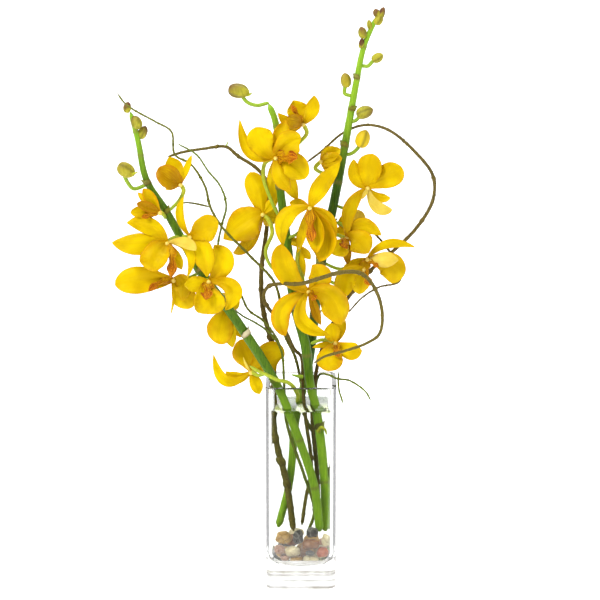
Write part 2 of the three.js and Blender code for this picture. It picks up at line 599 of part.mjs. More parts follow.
// A square block with rounded corners, its sides given by a list of levels.
function squareBlock(levels) {
  const rows = levels.length - 1;
  const count = 4 * CORNER_POINTS;
  const unit = new THREE.CylinderGeometry(1, 1, 1, count, rows);
  unit.rotateX(Math.PI / 2);
  return toSolid(reshape(unit, (point) => {
    const { z, half, corner } = levels[Math.round((point.z + 0.5) * rows)];
    const angle = Math.atan2(point.y, point.x);
    const index = (Math.round(angle / (2 * Math.PI) * count) + count) % count;
    const [x, y] = outlinePoint(index, half, corner);
    const onAxis = Math.hypot(point.x, point.y) < 0.5;
    point.set(onAxis ? 0 : x, onAxis ? 0 : y, z);
  }));
}

function vaseCavity(top) {
  const half = cavityHalf;
  const round = CAVITY_BOTTOM_ROUND;
  const levels = FLOOR_ARC_DEGREES.map((degrees) => {
    const angle = THREE.MathUtils.degToRad(degrees);
    const inset = round * (1 - Math.sin(angle));
    const rise = round * (1 - Math.cos(angle));
    const squared = FLOOR_SQUARENESS * (inset / round);
    const corner = CAVITY_CORNER + (half - CAVITY_CORNER) * squared;
    return { z: VASE_BASE + rise, half: half - inset, corner };
  });
  levels[0].z = VASE_BASE;
  return squareBlock([...levels, { z: top, half, corner: CAVITY_CORNER }]);
}

function glassVase() {
  const half = VASE_WIDTH / 2;
  const outside = squareBlock([
    { z: 0, half: half - FOOT_BEVEL, corner: VASE_CORNER },
    { z: FOOT_BEVEL, half, corner: VASE_CORNER },
    { z: VASE_HEIGHT - RIM_BEVEL, half, corner: VASE_CORNER },
    { z: VASE_HEIGHT, half: half - RIM_BEVEL, corner: VASE_CORNER },
  ]);
  return outside.subtract(vaseCavity(VASE_HEIGHT + 1));
}

function clearFill(grownNeighbours) {
  const half = cavityHalf - GAP;
  const bottom = VASE_BASE + PEBBLE_DEPTH * cavityRise;
  const block = squareBlock([
    { z: bottom, half, corner: CAVITY_CORNER },
    { z: VASE_HEIGHT - FILL_BELOW_RIM, half, corner: CAVITY_CORNER },
  ]);
  return clearOf(block, grownNeighbours);
}

// ---- Stems, twigs and buds ----------------------------------------------------------------

function stemSolid({ route, radii, buds }, grow = 0) {
  const stalk = rod(route, radii, STEM_SIDES, STEM_STEPS, grow);
  return join([stalk, ...buds.map(({ at, size }) => ovoid(at, size, 0, grow))]);
}

function twigSolid({ branches }, grow = 0) {
  return join(branches.map(({ route, radii, steps }) =>
    rod(route, radii, TWIG_SIDES, steps, grow)));
}

function budSolid({ at, size, tilt, stalk }, grow = 0) {
  const radii = [BUD_STALK_RADIUS, BUD_STALK_RADIUS];
  const foot = rod(stalk, radii, PEDICEL_SIDES, BUD_STALK_STEPS, grow);
  return join([ovoid(at, size, tilt, grow), foot]);
}

// ---- Blooms -------------------------------------------------------------------------------

// How wide a petal is at a share of its length, as a share of its greatest width.
function petalProfile(share, blunt) {
  const { lean, fullness } = blunt ? PETAL_SHAPE.blunt : PETAL_SHAPE.plain;
  const belly = Math.sin(Math.PI * share ** lean);
  return PETAL_NECK + (1 - PETAL_NECK) * Math.max(belly, 0) ** fullness;
}

// A thin closed blade, wrapped from a box: its length, its width and its thickness.
function petalSolid(heart, { tip, via, wide, cup, blunt }, grow) {
  const start = new THREE.Vector3(...settle(heart));
  const end = start.clone().add(new THREE.Vector3(...tip));
  const middle = start.clone().add(new THREE.Vector3(...via));
  const handle = middle.clone().multiplyScalar(2).addScaledVector(start, -0.5);
  handle.addScaledVector(end, -0.5);
  const rib = new THREE.QuadraticBezierCurve3(start, handle, end);
  const half = wide / 2 + grow;
  const thickness = PETAL_THICKNESS + 2 * grow;
  const reach = 1 + grow / rib.getLength();
  const side = new THREE.Vector3();
  const up = new THREE.Vector3();
  const steps = wide < NARROW_PETAL ? PETAL_STEPS.narrow : PETAL_STEPS.wide;
  const blade = new THREE.BoxGeometry(1, 1, 1, ...steps);
  return toSolid(reshape(blade, (point) => {
    const share = (point.x + 0.5) * reach;
    const tangent = rib.getTangent(Math.min(share, 1));
    side.crossVectors(FRONT, tangent).normalize();
    up.crossVectors(tangent, side).normalize();
    const spread = 2 * half * petalProfile(Math.min(share, 1), blunt);
    const hollow = 2 * point.y * point.y * cup * spread;
    const place = rib.getPoint(Math.min(share, 1));
    place.addScaledVector(tangent, Math.max(share - 1, 0) * rib.getLength());
    place.addScaledVector(side, point.y * spread);
    place.addScaledVector(up, point.z * thickness + hollow);
    point.copy(place);
  }));
}

function columnSolid(heart, grow) {
  const shape = new THREE.OctahedronGeometry(1, 1);
  shape.scale(COLUMN_RADIUS + grow, COLUMN_LENGTH / 2 + grow, COLUMN_RADIUS + grow);
  shape.translate(...settle(heart));
  return toSolid(shape);
}

function bloomSolid({ heart, pedicel, petals }, grow = 0) {
  const stalk = rod([...pedicel, heart], [PEDICEL_RADIUS, PEDICEL_RADIUS], PEDICEL_SIDES,
    pedicel.length + 1, grow);
  const blades = petals.map((petal) => petalSolid(heart, petal, grow));
  return join([columnSolid(heart, grow), stalk, ...blades]);
}

function pebbleSolid({ at, size }, index) {
  const shape = new THREE.IcosahedronGeometry(1, 1);
  shape.rotateZ(index * PEBBLE_TURN);
  shape.rotateX(index * PEBBLE_ROLL);
  const share = Math.min(cavityReach, cavityRise);
  shape.scale(size[0] * share, size[1] * share, size[2] * share);
  shape.translate(...settle(at));
  return toSolid(shape);
}

// ---- Assembly -----------------------------------------------------------------------------

const arrangement = new THREE.Group();
const grownSolids = {};

function addPart(name, solid, material, grown) {
  const mesh = new THREE.Mesh(toGeometry(solid), material);
  mesh.name = name;
  arrangement.add(mesh);
  grownSolids[name] = grown;
}

addPart('glass_vase', glassVase(), glassFinish, null);

for (const [name, stem] of Object.entries(STEMS)) {
  addPart(name, stemSolid(stem), stemFinish, stemSolid(stem, GAP));
}

const standing = Object.keys(STEMS);
const grownOf = (names) => names.map((name) => grownSolids[name]);

for (const [name, twig] of Object.entries(TWIGS)) {
  const solid = clearOf(twigSolid(twig), grownOf(standing));
  addPart(name, solid, twig.material, twigSolid(twig, GAP));
  standing.push(name);
}

addPart('clear_fill', clearFill(grownOf(standing)), fillFinish, null);

PEBBLES.forEach((pebble, index) => {
  const name = `pebble_${String(index + 1).padStart(2, '0')}`;
  const solid = clearOf(pebbleSolid(pebble, index), grownOf(standing));
  addPart(name, solid, finish(pebble.color, 0.5), null);
});

const placed = [...standing];

for (const [name, bud] of Object.entries(BUDS)) {
  addPart(name, clearOf(budSolid(bud), grownOf(placed)), budFinish, budSolid(bud, GAP));
  placed.push(name);
}

for (const [name, bloom] of Object.entries(BLOOMS)) {
  const solid = clearOf(bloomSolid(bloom), grownOf(placed));
  addPart(name, solid, petalFinish, bloomSolid(bloom, GAP));
  placed.push(name);
}

export default arrangement;
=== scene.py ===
# %% [markdown]
# # Orchid arrangement in a square glass vase
# Three sprays of yellow orchids and a few curly twigs stand in a tall square glass vase.
# A clear fill holds them over a bed of pebbles, like water that never moves.
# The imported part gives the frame: its pieces say where everything is and how large it is.
# Each step below dresses one kind of piece: glass, pebbles, stems, twigs, buds and blooms.

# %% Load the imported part
import json
import math

import bmesh
import bpy
import numpy as np
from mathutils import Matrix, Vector, noise


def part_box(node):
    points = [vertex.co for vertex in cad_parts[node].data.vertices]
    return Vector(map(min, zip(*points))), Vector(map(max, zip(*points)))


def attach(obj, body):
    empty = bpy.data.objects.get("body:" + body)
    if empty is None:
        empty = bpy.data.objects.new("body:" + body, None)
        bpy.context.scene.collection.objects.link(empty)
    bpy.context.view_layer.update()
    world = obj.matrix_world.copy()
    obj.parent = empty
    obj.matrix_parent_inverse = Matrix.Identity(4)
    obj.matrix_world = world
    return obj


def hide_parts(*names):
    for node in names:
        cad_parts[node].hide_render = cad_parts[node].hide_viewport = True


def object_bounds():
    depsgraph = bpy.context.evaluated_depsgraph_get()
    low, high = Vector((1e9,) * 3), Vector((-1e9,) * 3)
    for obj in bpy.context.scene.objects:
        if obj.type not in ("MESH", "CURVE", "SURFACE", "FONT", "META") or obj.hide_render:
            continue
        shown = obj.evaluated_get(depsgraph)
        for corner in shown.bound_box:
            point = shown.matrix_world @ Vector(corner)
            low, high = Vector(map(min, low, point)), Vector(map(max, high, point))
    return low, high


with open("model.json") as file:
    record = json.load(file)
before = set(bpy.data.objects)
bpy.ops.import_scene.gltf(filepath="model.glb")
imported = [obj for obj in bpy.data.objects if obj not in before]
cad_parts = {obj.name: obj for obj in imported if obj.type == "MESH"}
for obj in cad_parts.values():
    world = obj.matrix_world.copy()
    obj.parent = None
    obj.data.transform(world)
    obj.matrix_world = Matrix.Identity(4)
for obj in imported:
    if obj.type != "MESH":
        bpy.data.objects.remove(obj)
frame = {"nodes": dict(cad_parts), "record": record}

part_low, part_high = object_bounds()
print("the part measures", [round(1000 * side) for side in part_high - part_low], "mm")

# %% [markdown]
# ## The routes
# Every size here is in millimetres, in the part's own frame: +Z up, -Y towards the viewer,
# and the origin in the middle of the vase's foot. A stem has its radii at even steps along
# its route, and small buds at its tip. A twig has branches. A bud has its place, its half
# sizes, its lean in degrees and the route of its stalk. A bloom has a heart, the route of
# its stalk, and then its petals: kind, tip, middle, width, cup, and 1 for a blunt end.

# %% Routes of stems, twigs, buds and blooms
STEMS = {
    "stem_left": {
        "radii": (4.6, 4.6, 4.2, 2.2),
        "route": (
            (20, -10, 58), (14, -13, 109), (-2, -15, 161), (-25, -17, 219), (-66, -28, 290),
            (-106, -35, 349), (-138, -40, 409), (-158, -43, 443), (-166, -45, 484),
            (-173, -46, 513),
        ),
        "buds": (
            ((-176, -47, 518), (4.8, 4.2, 6)),
            ((-167, -49, 503), (6.5, 5.5, 7.5)),
            ((-161, -43, 492), (5.5, 5, 7.5)),
        ),
    },
    "stem_middle": {
        "radii": (5, 4.8, 4.4, 2.8),
        "route": (
            (26, 4, 55), (25, 3, 109), (16, 0, 191), (10, -2, 215), (5, -4, 258), (-7, -6, 306),
            (-15, -8, 374), (-22, -8, 433), (-26, -7, 496), (-33, -6, 516),
        ),
    },
    "stem_right": {
        "radii": (4, 4.6, 4.2, 2.2),
        "route": (
            (-24, 14, 57), (-12, 15, 108), (-5, 16, 180), (6, 18, 222), (21, 24, 339),
            (35, 28, 408), (47, 31, 472), (58, 34, 534), (66, 36, 572), (79, 38, 602),
        ),
        "buds": (
            ((79, 37, 606), (4.6, 4.2, 5)),
            ((84, 37, 605.5), (4, 4, 7.5)),
            ((81, 36, 599), (5.4, 5, 6)),
            ((71.5, 36, 594), (3.2, 3.4, 5.5)),
            ((64, 34, 586), (5.2, 5, 6.6)),
            ((63, 34, 575), (3.4, 3.6, 5.6)),
        ),
    },
}

TWIGS = {
    "twig_trunk": ("brown_twig", (
        ((2.6, 2.6, 2, 1.2), (
            (-8, 8, 55), (-15, 5, 108), (-28, 4, 165), (-29, 8, 215), (-30, 11, 252),
            (-40, 12, 294), (-42, 12, 335), (-36, 13, 385), (-35, 13, 430), (-46, 12, 446),
            (-66, 9, 460), (-78, 6, 470), (-100, 0, 469), (-123, -6, 466), (-138, -10, 462),
        )),
    )),
    "twig_right": ("brown_twig", (
        ((1.8, 1.8, 1.7, 1), (
            (19, 14, 54), (17, 13, 117), (12, 9, 182), (14, 11, 212), (22, 21, 248), (42, 34, 290),
            (76, 40, 333), (96, 38, 351), (122, 30, 379), (139, 18, 412), (138, 8, 439),
            (121, 0, 463), (93, 2, 487), (69, 20, 491), (44, 44, 479), (22, 44, 460), (6, 36, 449),
        )),
        ((1.1, 1, 0.9, 0.8), (
            (96, 38, 351), (108, 28, 339), (104, 22, 323), (83, 18, 318), (65, 20, 306),
            (50, 22, 289),
        )),
        ((1.3, 1.2, 1.1, 0.9), (
            (96, 38, 351), (86, 38, 364), (75, 36, 376),
        )),
    )),
    "twig_front": ("brown_twig", (
        ((1.5, 1.5, 1.9, 1.1), (
            (1, 11, 60), (5, 6, 91), (11, 5, 125), (5, 3, 180), (2, 8, 210), (0, 5, 245),
            (-7, -2, 255), (-19, -14, 283), (-37, -18, 308), (-39, -20, 318), (-34, -26, 328),
            (-22, -36, 333), (-1, -50, 336), (20, -60, 344), (42, -64, 351), (62, -62, 349),
            (76, -56, 332), (84, -48, 304), (81, -44, 281), (67, -48, 272), (46, -54, 266),
            (25, -54, 260), (13, -48, 251),
        )),
    )),
    "twig_far": ("green_twig", (
        ((1.4, 1.4, 1.2, 0.8), (
            (23, 23, 53), (30, 24, 108), (19, 24, 148), (5, 25, 177), (0, 26, 211), (-6, 21, 240),
            (-18, 10, 270), (-27, -6, 326), (-55, -10, 359), (-82, -16, 389), (-94, -20, 411),
            (-99, -24, 433), (-113, -30, 457), (-129, -36, 468), (-132, -44, 493),
            (-148, -50, 504), (-176, -58, 522), (-185, -60, 534),
        )),
        ((0.9, 0.9, 0.8, 0.8), (
            (-94, -20, 411), (-101, -22, 413), (-115, -24, 416), (-127, -26, 416),
        )),
    )),
    "twig_inner": ("green_twig", (
        ((1.3, 1.3, 1.2, 0.8), (
            (7, -2, 54), (14, -3, 79), (3, -2, 120), (-9, -2, 155), (-16, -4, 183), (-18, -5, 220),
            (-21, -3, 254), (-32, -3, 272), (-49, -5, 285), (-61, -7, 292), (-73, -9, 302),
        )),
        ((1.1, 1.1, 1, 0.8), (
            (-21, -3, 254), (-25, -4, 266), (-40, -6, 287), (-55, -9, 299), (-66, -9, 321),
            (-83, -7, 337), (-87, -6, 365), (-83, -5, 388), (-78, -5, 410), (-84, -8, 431),
            (-96, -12, 447), (-108, -16, 465), (-127, -20, 477),
        )),
    )),
    "twig_tendril": ("green_twig", (
        ((1.2, 1.2, 1, 0.8), (
            (15, 27, 170), (16, 26, 190), (16, 22, 208), (20, 11, 224), (30, -3, 227),
            (39, -11, 225), (51, -14, 224), (68, -18, 213), (74, -19, 203),
        )),
        ((0.9, 0.9, 0.8, 0.8), (
            (40, -9, 233), (39.5, -11, 224), (40.5, -12, 212), (45, -15, 198),
        )),
    )),
}

BUDS = {
    "bud_left_low": ((-178, -49, 454), (8.8, 8.3, 10.2), 120, (
        (-157, -42, 439), (-171, -44, 434), (-177, -47, 441), (-180, -49, 450),
    )),
    "bud_middle_tip": ((-64, -7, 530), (8.8, 8.5, 11.5), 100, (
        (-34, -6, 517), (-45, -7, 515), (-55, -7, 518), (-61, -7, 525),
    )),
    "bud_right_lowest": ((65, 24, 476), (8.8, 8, 10.2), 20, (
        (48, 31, 458), (54, 29, 460), (60, 26, 466), (64, 24, 473),
    )),
    "bud_right_lower": ((67, 30, 503), (7.8, 7.6, 9.6), 70, (
        (52, 32, 493), (57, 31, 494), (62, 30, 499), (66, 30, 503),
    )),
    "bud_right_upper": ((47, 36, 536), (6.4, 6.4, 8.2), -10, (
        (52, 34, 520), (46, 35, 522), (46, 36, 528), (47, 36, 533),
    )),
    "bud_right_top": ((80, 34, 560), (6, 6, 6.8), 60, (
        (65, 36, 551), (70, 35, 551), (75, 34, 556), (79, 34, 559),
    )),
}

BLOOMS = {
    "bud_left_opening": (
        (-123, -47, 439), ((-136, -41, 410), (-124, -44, 423), (-120, -46, 433)),
        ("brown", (-23, -10, 17), (-11, -13, 10), 23, 0.5, 0),
        ("plain", (-12, 5, 28), (-6, 6, 14), 20, 0.4, 0),
        ("plain", (11, 3, 30), (6, 2, 15), 7, 0.1, 0),
        ("plain", (-16, 0, -5), (-8, 0, -3), 5, 0.1, 0),
        ("plain", (-19, 13, 6), (-10, 11, 2), 14, 0.3, 0),
    ),
    "bloom_left_top": (
        (-144, -52, 411), ((-139, -42, 403), (-141, -48, 408)),
        ("orange", (-17, -5, 25), (-8, -2, 12), 13, 0.3, 1),
        ("brown", (-23, -11, 11), (-11, -6, 6), 11, 0.3, 1),
        ("plain", (-30, -6, 1), (-15, -3, 1), 13, 0.3, 1),
        ("orange", (-35, 3, -12), (-18, 2, -6), 8, 0.3, 0),
        ("orange", (-24, 8, 19), (-12, 4, 10), 9, 0.1, 0),
        ("lip", (-18, -14, -3), (-9, -7, -1), 6, 0.1, 0),
    ),
    "bloom_left_front": (
        (-137, -56, 380), ((-122, -39, 379), (-128, -46, 384), (-133, -50, 383)),
        ("plain", (-56, -6, 2), (-27, -8, 0), 23, -0.2, 0),
        ("plain", (-41, -3, 22), (-17, -2, 17), 18, 0.15, 0),
        ("amber", (-14, -22, -26), (-10, -18, -8), 30, 0.35, 1),
        ("lip", (5, -24, -31), (6, -17, -12), 11, -0.5, 0),
        ("pale", (30, -10, -6), (17, -9, 2), 12, -0.3, 1),
        ("plain", (15, -5, -27), (8, -2, -14), 13, 0.2, 0),
        ("plain", (20, -2, -37), (23, -1, -9), 9, 0.1, 0),
    ),
    "bloom_left_upper": (
        (-114, -49, 385), ((-124, -39, 384), (-118, -43, 384)),
        ("plain", (-5, -6, 43), (-10, -1, 21), 9, 0.2, 0),
        ("plain", (30, -10, 12), (16, -9, 10), 28, 0.2, 1),
        ("plain", (18, -6, -41), (13, -9, -14), 23, -0.25, 0),
        ("lip", (6, 5, -10), (3, 2, -5), 8, 0.1, 0),
    ),
    "bloom_left_centre": (
        (-95, -51, 339), ((-98, -37, 338), (-96, -43, 338)),
        ("plain", (6, 3, 38), (14, -2, 20), 25, 0.15, 0),
        ("plain", (17, -5, -30), (25, -8, -7), 19, 0.3, 0),
        ("plain", (-1, -13, -33), (0, -13, -17), 34, 0.2, 1),
        ("lip", (-2, -27, -13), (-1, -11, -7), 13, 0.3, 0),
        ("plain", (-25, -3, -5), (-12, -5, -2), 18, 0.2, 0),
    ),
    "bloom_left_low": (
        (-132, -33, 337), ((-104, -32, 345), (-117, -30, 338)),
        ("plain", (-60, -14, -4), (-31, -12, 2), 29, 0.15, 1),
        ("lip", (-25, -19, -8), (-14, -10, -2), 8, 0.4, 0),
        ("plain", (14, 0, -32), (9, -3, -15), 25, 0.2, 1),
        ("amber", (9, -6, -22), (10, -7, -4), 20, 0.2, 0),
        ("plain", (-16, -5, 2), (-8, -2, 1), 6, 0.1, 0),
        ("orange", (-3, -10, -35), (0, -5, -19), 3.1, 0.1, 0),
    ),
    "bloom_left_shade": (
        (-79, -13, 302), ((-75, -26, 302), (-77, -19, 302)),
        ("amber", (-8, -10, -37), (-4, -9, -17), 29, 0.2, 1),
        ("plain", (7, 3, -44), (3, 2, -22), 16, 0.2, 0),
        ("orange", (16, 6, -33), (8, 5, -17), 13, 0.1, 0),
        ("plain", (14, 10, 7), (7, 5, 3), 15, 0.1, 0),
        ("plain", (-5, 13, 14), (-2, 6, 7), 14, 0.1, 0),
    ),
    "bloom_left_rim": (
        (-53, -8, 232), ((-38, -22, 233), (-45, -16, 230)),
        ("amber", (-11, 13, 32), (-5, 10, 15), 27, -0.2, 1),
        ("amber", (35, 8, 14), (20, 6, 15), 33, -0.25, 0),
        ("plain", (-39, -3, 20), (-26, -4, -9), 12, 0.2, 0),
        ("plain", (-27, 5, -1), (-15, 2, -7), 13, 0.2, 0),
        ("plain", (9, -3, -24), (5, -4, -12), 14, 0.2, 0),
        ("pale", (-8, -10, 18), (-4, -5, 7), 2.6, 0.1, 0),
    ),
    "bloom_middle_top": (
        (2, -15, 497), ((-24, -8, 472), (-9, -4, 471), (1, -5, 479), (6, -10, 487)),
        ("plain", (12, -5, 30), (9, -6, 15), 15, 0.25, 0),
        ("plain", (-10, 3, 24), (-5, 4, 12), 23, 0.3, 0),
        ("amber", (-26, 0, 11), (-13, 0, 0), 12, 0.3, 0),
        ("brown", (-17, -16, 8), (-9, -13, 5), 16, 0.5, 0),
        ("lip", (-12, -13, 21), (-6, -10, 11), 6, 0.3, 0),
        ("plain", (-17, 6, -4), (-8, 3, -2), 13, 0.2, 0),
    ),
    "bloom_middle_front": (
        (-26, -28, 464), ((-23, -12, 399), (-33, -15, 422), (-39, -17, 443), (-37, -20, 457)),
        ("plain", (-36, -3, 40), (-26, -5, 6), 13, 0.2, 0),
        ("plain", (-21, -5, 32), (-14, -6, 16), 28, 0.15, 1),
        ("amber", (10, 5, 38), (5, 0, 19), 18, 0.25, 0),
        ("amber", (26, -10, 21), (15, -9, 17), 27, 0.35, 0),
        ("lip", (22, -22, 3), (11, -9, 1), 15, 0.4, 0),
        ("plain", (31, -5, -21), (17, -6, -6), 28, 0.2, 1),
        ("amber", (15, -14, -32), (4, -13, -16), 16, -0.3, 1),
        ("plain", (22, 14, -47), (11, 7, -23), 17, 0.1, 0),
        ("plain", (-4, 27, -55), (-2, 14, -27), 15, 0.1, 0),
    ),
    "bloom_middle_back": (
        (-40, -6, 401),
        ((-13, -9, 336), (-30, -12, 345), (-37, -13, 362), (-30, -13, 383), (-34, -10, 396)),
        ("plain", (-13, 0, 44), (-6, 2, 22), 24, -0.2, 1),
        ("amber", (-41, -3, -26), (-17, -7, -7), 36, -0.25, 0),
        ("plain", (-10, 3, 3), (-5, 2, 1), 6, 0.1, 0),
        ("orange", (-31, 14, -7), (-15, 7, -3), 6, 0.1, 0),
        ("amber", (-33, 14, -44), (-14, 7, -31), 14, 0.1, 0),
        ("plain", (17, 10, -8), (8, 5, -4), 23, -0.15, 0),
        ("plain", (16, 8, 18), (8, 4, 9), 11, 0.1, 0),
    ),
    "bloom_middle_cup": (
        (9, -30, 412), ((-14, -10, 376), (-3, -17, 383), (4, -23, 397)),
        ("plain", (32, 5, 46), (11, 0, 21), 19, 0.15, 0),
        ("plain", (-27, -3, -40), (-25, -7, -9), 18, -0.15, 0),
        ("orange", (-21, 11, 3), (-10, 6, 2), 12, 0.2, 0),
        ("amber", (10, -19, -53), (9, -4, -27), 31, 0.75, 1),
        ("amber", (7, -24, -42), (5, -10, -21), 20, 0.6, 1),
        ("lip", (2, -26, -31), (1, -15, -15), 11, 0.2, 0),
        ("amber", (21, 6, -45), (21, 3, -15), 12, 0.1, 0),
        ("plain", (-13, 13, -50), (-7, 6, -25), 10, 0.1, 0),
    ),
    "bloom_middle_hidden": (
        (-2, -15, 369), ((-7, -8, 323), (2, -11, 331), (-4, -13, 351)),
        ("plain", (0, -8, 18), (0, -4, 9), 6, 0.1, 0),
        ("plain", (5, 3, -35), (3, 2, -17), 7, 0.1, 0),
        ("plain", (12, 6, -16), (6, 3, -8), 9, 0.1, 0),
        ("plain", (-9, 10, 7), (-5, 5, 3), 9, 0.1, 0),
    ),
    "bloom_middle_low": (
        (8, -30, 324), ((-8, -9, 310), (0, -18, 316)),
        ("amber", (-29, -5, 51), (-23, -7, 22), 26, 0.2, 1),
        ("amber", (3, 5, 27), (11, -1, 13), 26, 0.2, 0),
        ("amber", (34, -10, -34), (24, -12, -6), 32, -0.2, 1),
        ("plain", (23, -10, -45), (-7, -11, -29), 16, 0.2, 0),
        ("orange", (-24, 10, -50), (-27, 2, -19), 21, 0.15, 1),
        ("brown", (13, 6, -38), (6, 3, -19), 10, 0.3, 0),
        ("amber", (42, 10, -15), (23, 5, -11), 12, 0.1, 0),
        ("lip", (7, -26, -4), (4, -13, -2), 8, 0.1, 0),
    ),
    "bloom_middle_rim": (
        (36, -18, 266), ((10, -6, 262), (22, -10, 267)),
        ("amber", (-11, -18, -26), (-5, -15, -12), 28, 0.2, 1),
        ("plain", (28, -6, -8), (16, -7, -7), 19, 0.15, 0),
        ("plain", (-5, 5, 20), (-3, 2, 10), 18, 0.15, 0),
        ("plain", (9, 13, 26), (4, 6, 13), 15, 0.15, 0),
        ("orange", (-24, 3, -6), (-12, 2, -3), 6, 0.1, 0),
        ("lip", (3, -22, -10), (1, -10, -5), 10, 0.4, 0),
    ),
    "bud_right_opening": (
        (21, 20, 453), ((37, 29, 436), (26, 26, 438), (15, 22, 445)),
        ("plain", (20, -6, 14), (10, -7, 7), 16, 0.4, 0),
        ("amber", (22, -11, 4), (11, -10, 3), 16, 0.5, 0),
        ("amber", (13, 0, -7), (6, 3, -4), 13, 0.3, 0),
        ("plain", (13, 6, 15), (6, 3, 7), 13, 0.1, 0),
    ),
    "bloom_right_top": (
        (70, 18, 425), ((37, 28, 404), (48, 25, 402), (59, 22, 413)),
        ("plain", (-15, 3, 30), (-12, -1, 12), 16, 0.2, 0),
        ("plain", (5, -5, 37), (2, -6, 19), 27, 0.15, 1),
        ("plain", (35, -6, 24), (20, -7, 13), 27, 0.2, 1),
        ("plain", (24, 3, -11), (13, 2, -11), 10, 0.3, 1),
        ("pale", (26, -10, -22), (9, -7, -18), 13, 0.2, 1),
        ("amber", (-20, -14, -49), (-18, -11, -19), 15, -0.2, 0),
        ("pale", (-6, -14, -10), (-3, -7, -5), 4.3, 0.1, 0),
    ),
    "bloom_right_shade": (
        (51, 33, 377), ((35, 29, 386), (42, 31, 384)),
        ("amber", (-8, 0, 15), (-4, 0, 8), 16, 0.15, 0),
        ("pale", (14, 0, 20), (7, -2, 11), 19, 0.2, 1),
        ("amber", (24, 6, 7), (12, 3, 4), 17, 0.1, 0),
        ("plain", (-14, 3, -5), (-7, 2, -2), 13, 0.1, 0),
    ),
    "bloom_right_centre": (
        (48, 9, 373), ((30, 25, 371), (38, 19, 374), (44, 13, 373)),
        ("amber", (37, 3, 2), (16, -1, 13), 17, 0.2, 0),
        ("plain", (-16, -10, -16), (-6, -11, -7), 21, -0.3, 1),
        ("amber", (23, -8, -16), (11, -11, 0), 28, -0.3, 1),
        ("brown", (1, -3, -28), (0, -5, -13), 10, 0.1, 0),
        ("amber", (5, 13, 15), (3, 6, 7), 13, 0.1, 0),
        ("lip", (-5, -21, -6), (-2, -14, -2), 11, -0.3, 0),
    ),
    "bloom_right_low": (
        (70, 12, 350), ((22, 24, 344), (42, 26, 336), (58, 20, 343)),
        ("plain", (51, -3, 12), (22, -4, 17), 10, 0.1, 0),
        ("pale", (33, -14, 1), (16, -12, 1), 17, -0.5, 0),
        ("plain", (26, 0, -27), (23, -2, -6), 29, 0.15, 1),
        ("plain", (-27, 3, -14), (-14, -1, -6), 11, 0.1, 0),
        ("brown", (-5, -10, -14), (-3, -5, -7), 13, 0.2, 0),
        ("lip", (11, -16, -6), (6, -8, -3), 6, 0.1, 0),
    ),
    "bloom_right_below": (
        (66, 0, 341), ((20, 23, 330), (39, 20, 321), (56, 10, 331)),
        ("plain", (-22, -10, -29), (-18, -9, -7), 23, 0.2, 1),
        ("plain", (-5, -6, -26), (-3, -7, -12), 21, 0.15, 0),
        ("lip", (7, -16, -14), (3, -10, -6), 9, 0.4, 0),
        ("plain", (-29, 3, -9), (-15, -1, -4), 13, 0.1, 0),
    ),
}

print(len(STEMS), "stems,", len(TWIGS), "twigs,", len(BUDS), "buds,", len(BLOOMS), "blooms")

# %% [markdown]
# ## Building blocks
# A mesh is made from arrays of points in millimetres and lists of faces. Named numbers on
# its points, such as how near a point is to a petal's edge, tell its material what to do.

# %% Meshes and their faces
MM = 0.001
UPWARD = 0.2  # how far petals and husks face up, for each step they face the front
FRONT = np.array([0, -1, UPWARD]) / math.hypot(1, UPWARD)
EDGE_MARGIN = 0.0001


def unit(rows):
    rows = np.asarray(rows, float)
    return rows / np.maximum(np.linalg.norm(rows, axis=-1, keepdims=True), 1e-9)


def tube_faces(rows, count):
    """The quads round a tube of rows + 1 rings of points."""
    faces = []
    for row in range(rows):
        for step in range(count):
            a, b = row * count + step, row * count + (step + 1) % count
            faces.append((a, b, b + count, a + count))
    return faces


def border_edges(rows, cols):
    """The edges round a sheet of rows by cols quads."""
    path = list(range(cols))
    path += [row * (cols + 1) + cols for row in range(rows)]
    path += [rows * (cols + 1) + col for col in range(cols, 0, -1)]
    path += [row * (cols + 1) for row in range(rows, 0, -1)]
    return zip(path, path[1:] + path[:1])


def add_values(mesh, values):
    for key, numbers in values.items():
        layer = mesh.attributes.new(key, "FLOAT", "POINT")
        layer.data.foreach_set("value", np.asarray(numbers, np.float32))


def make_mesh(name, points, faces, values=None, uv=None):
    mesh = bpy.data.meshes.new(name)
    mesh.from_pydata((np.asarray(points) * MM).tolist(), [], faces)
    add_values(mesh, values or {})
    if uv is not None:
        corner = np.zeros(len(mesh.loops), np.int32)
        mesh.loops.foreach_get("vertex_index", corner)
        layer = mesh.uv_layers.new(name="UVMap")
        layer.data.foreach_set("uv", np.asarray(uv, np.float32)[corner].ravel())
    mesh.polygons.foreach_set("use_smooth", [True] * len(mesh.polygons))
    mesh.update()
    return mesh


def keep_inside(mesh):
    """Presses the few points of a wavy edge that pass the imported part's box back onto it."""
    flat = np.zeros(len(mesh.vertices) * 3, np.float32)
    mesh.vertices.foreach_get("co", flat)
    low, high = np.array(part_low) + EDGE_MARGIN, np.array(part_high) - EDGE_MARGIN
    low[2] = part_low[2]
    mesh.vertices.foreach_set("co", np.clip(flat.reshape(-1, 3), low, high).ravel())
    mesh.update()


def new_object(name, data):
    made = bpy.data.objects.new(name, data)
    bpy.context.scene.collection.objects.link(made)
    return made


def show(name, mesh, material, nodes):
    keep_inside(mesh)
    piece = new_object(name, mesh)
    mesh.materials.clear()
    mesh.materials.append(material)
    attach(piece, "root")
    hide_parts(*nodes)


print("a mesh is pressed inside a box of", [round(side, 3) for side in part_high - part_low], "m")

# %% [markdown]
# ## Smooth routes
# A few points are enough for a stem. A rounded curve runs through all of them, and new
# points are set on it at even steps.

# %% Smooth routes
CURVE_STEPS = 24  # fine steps between two points of a route


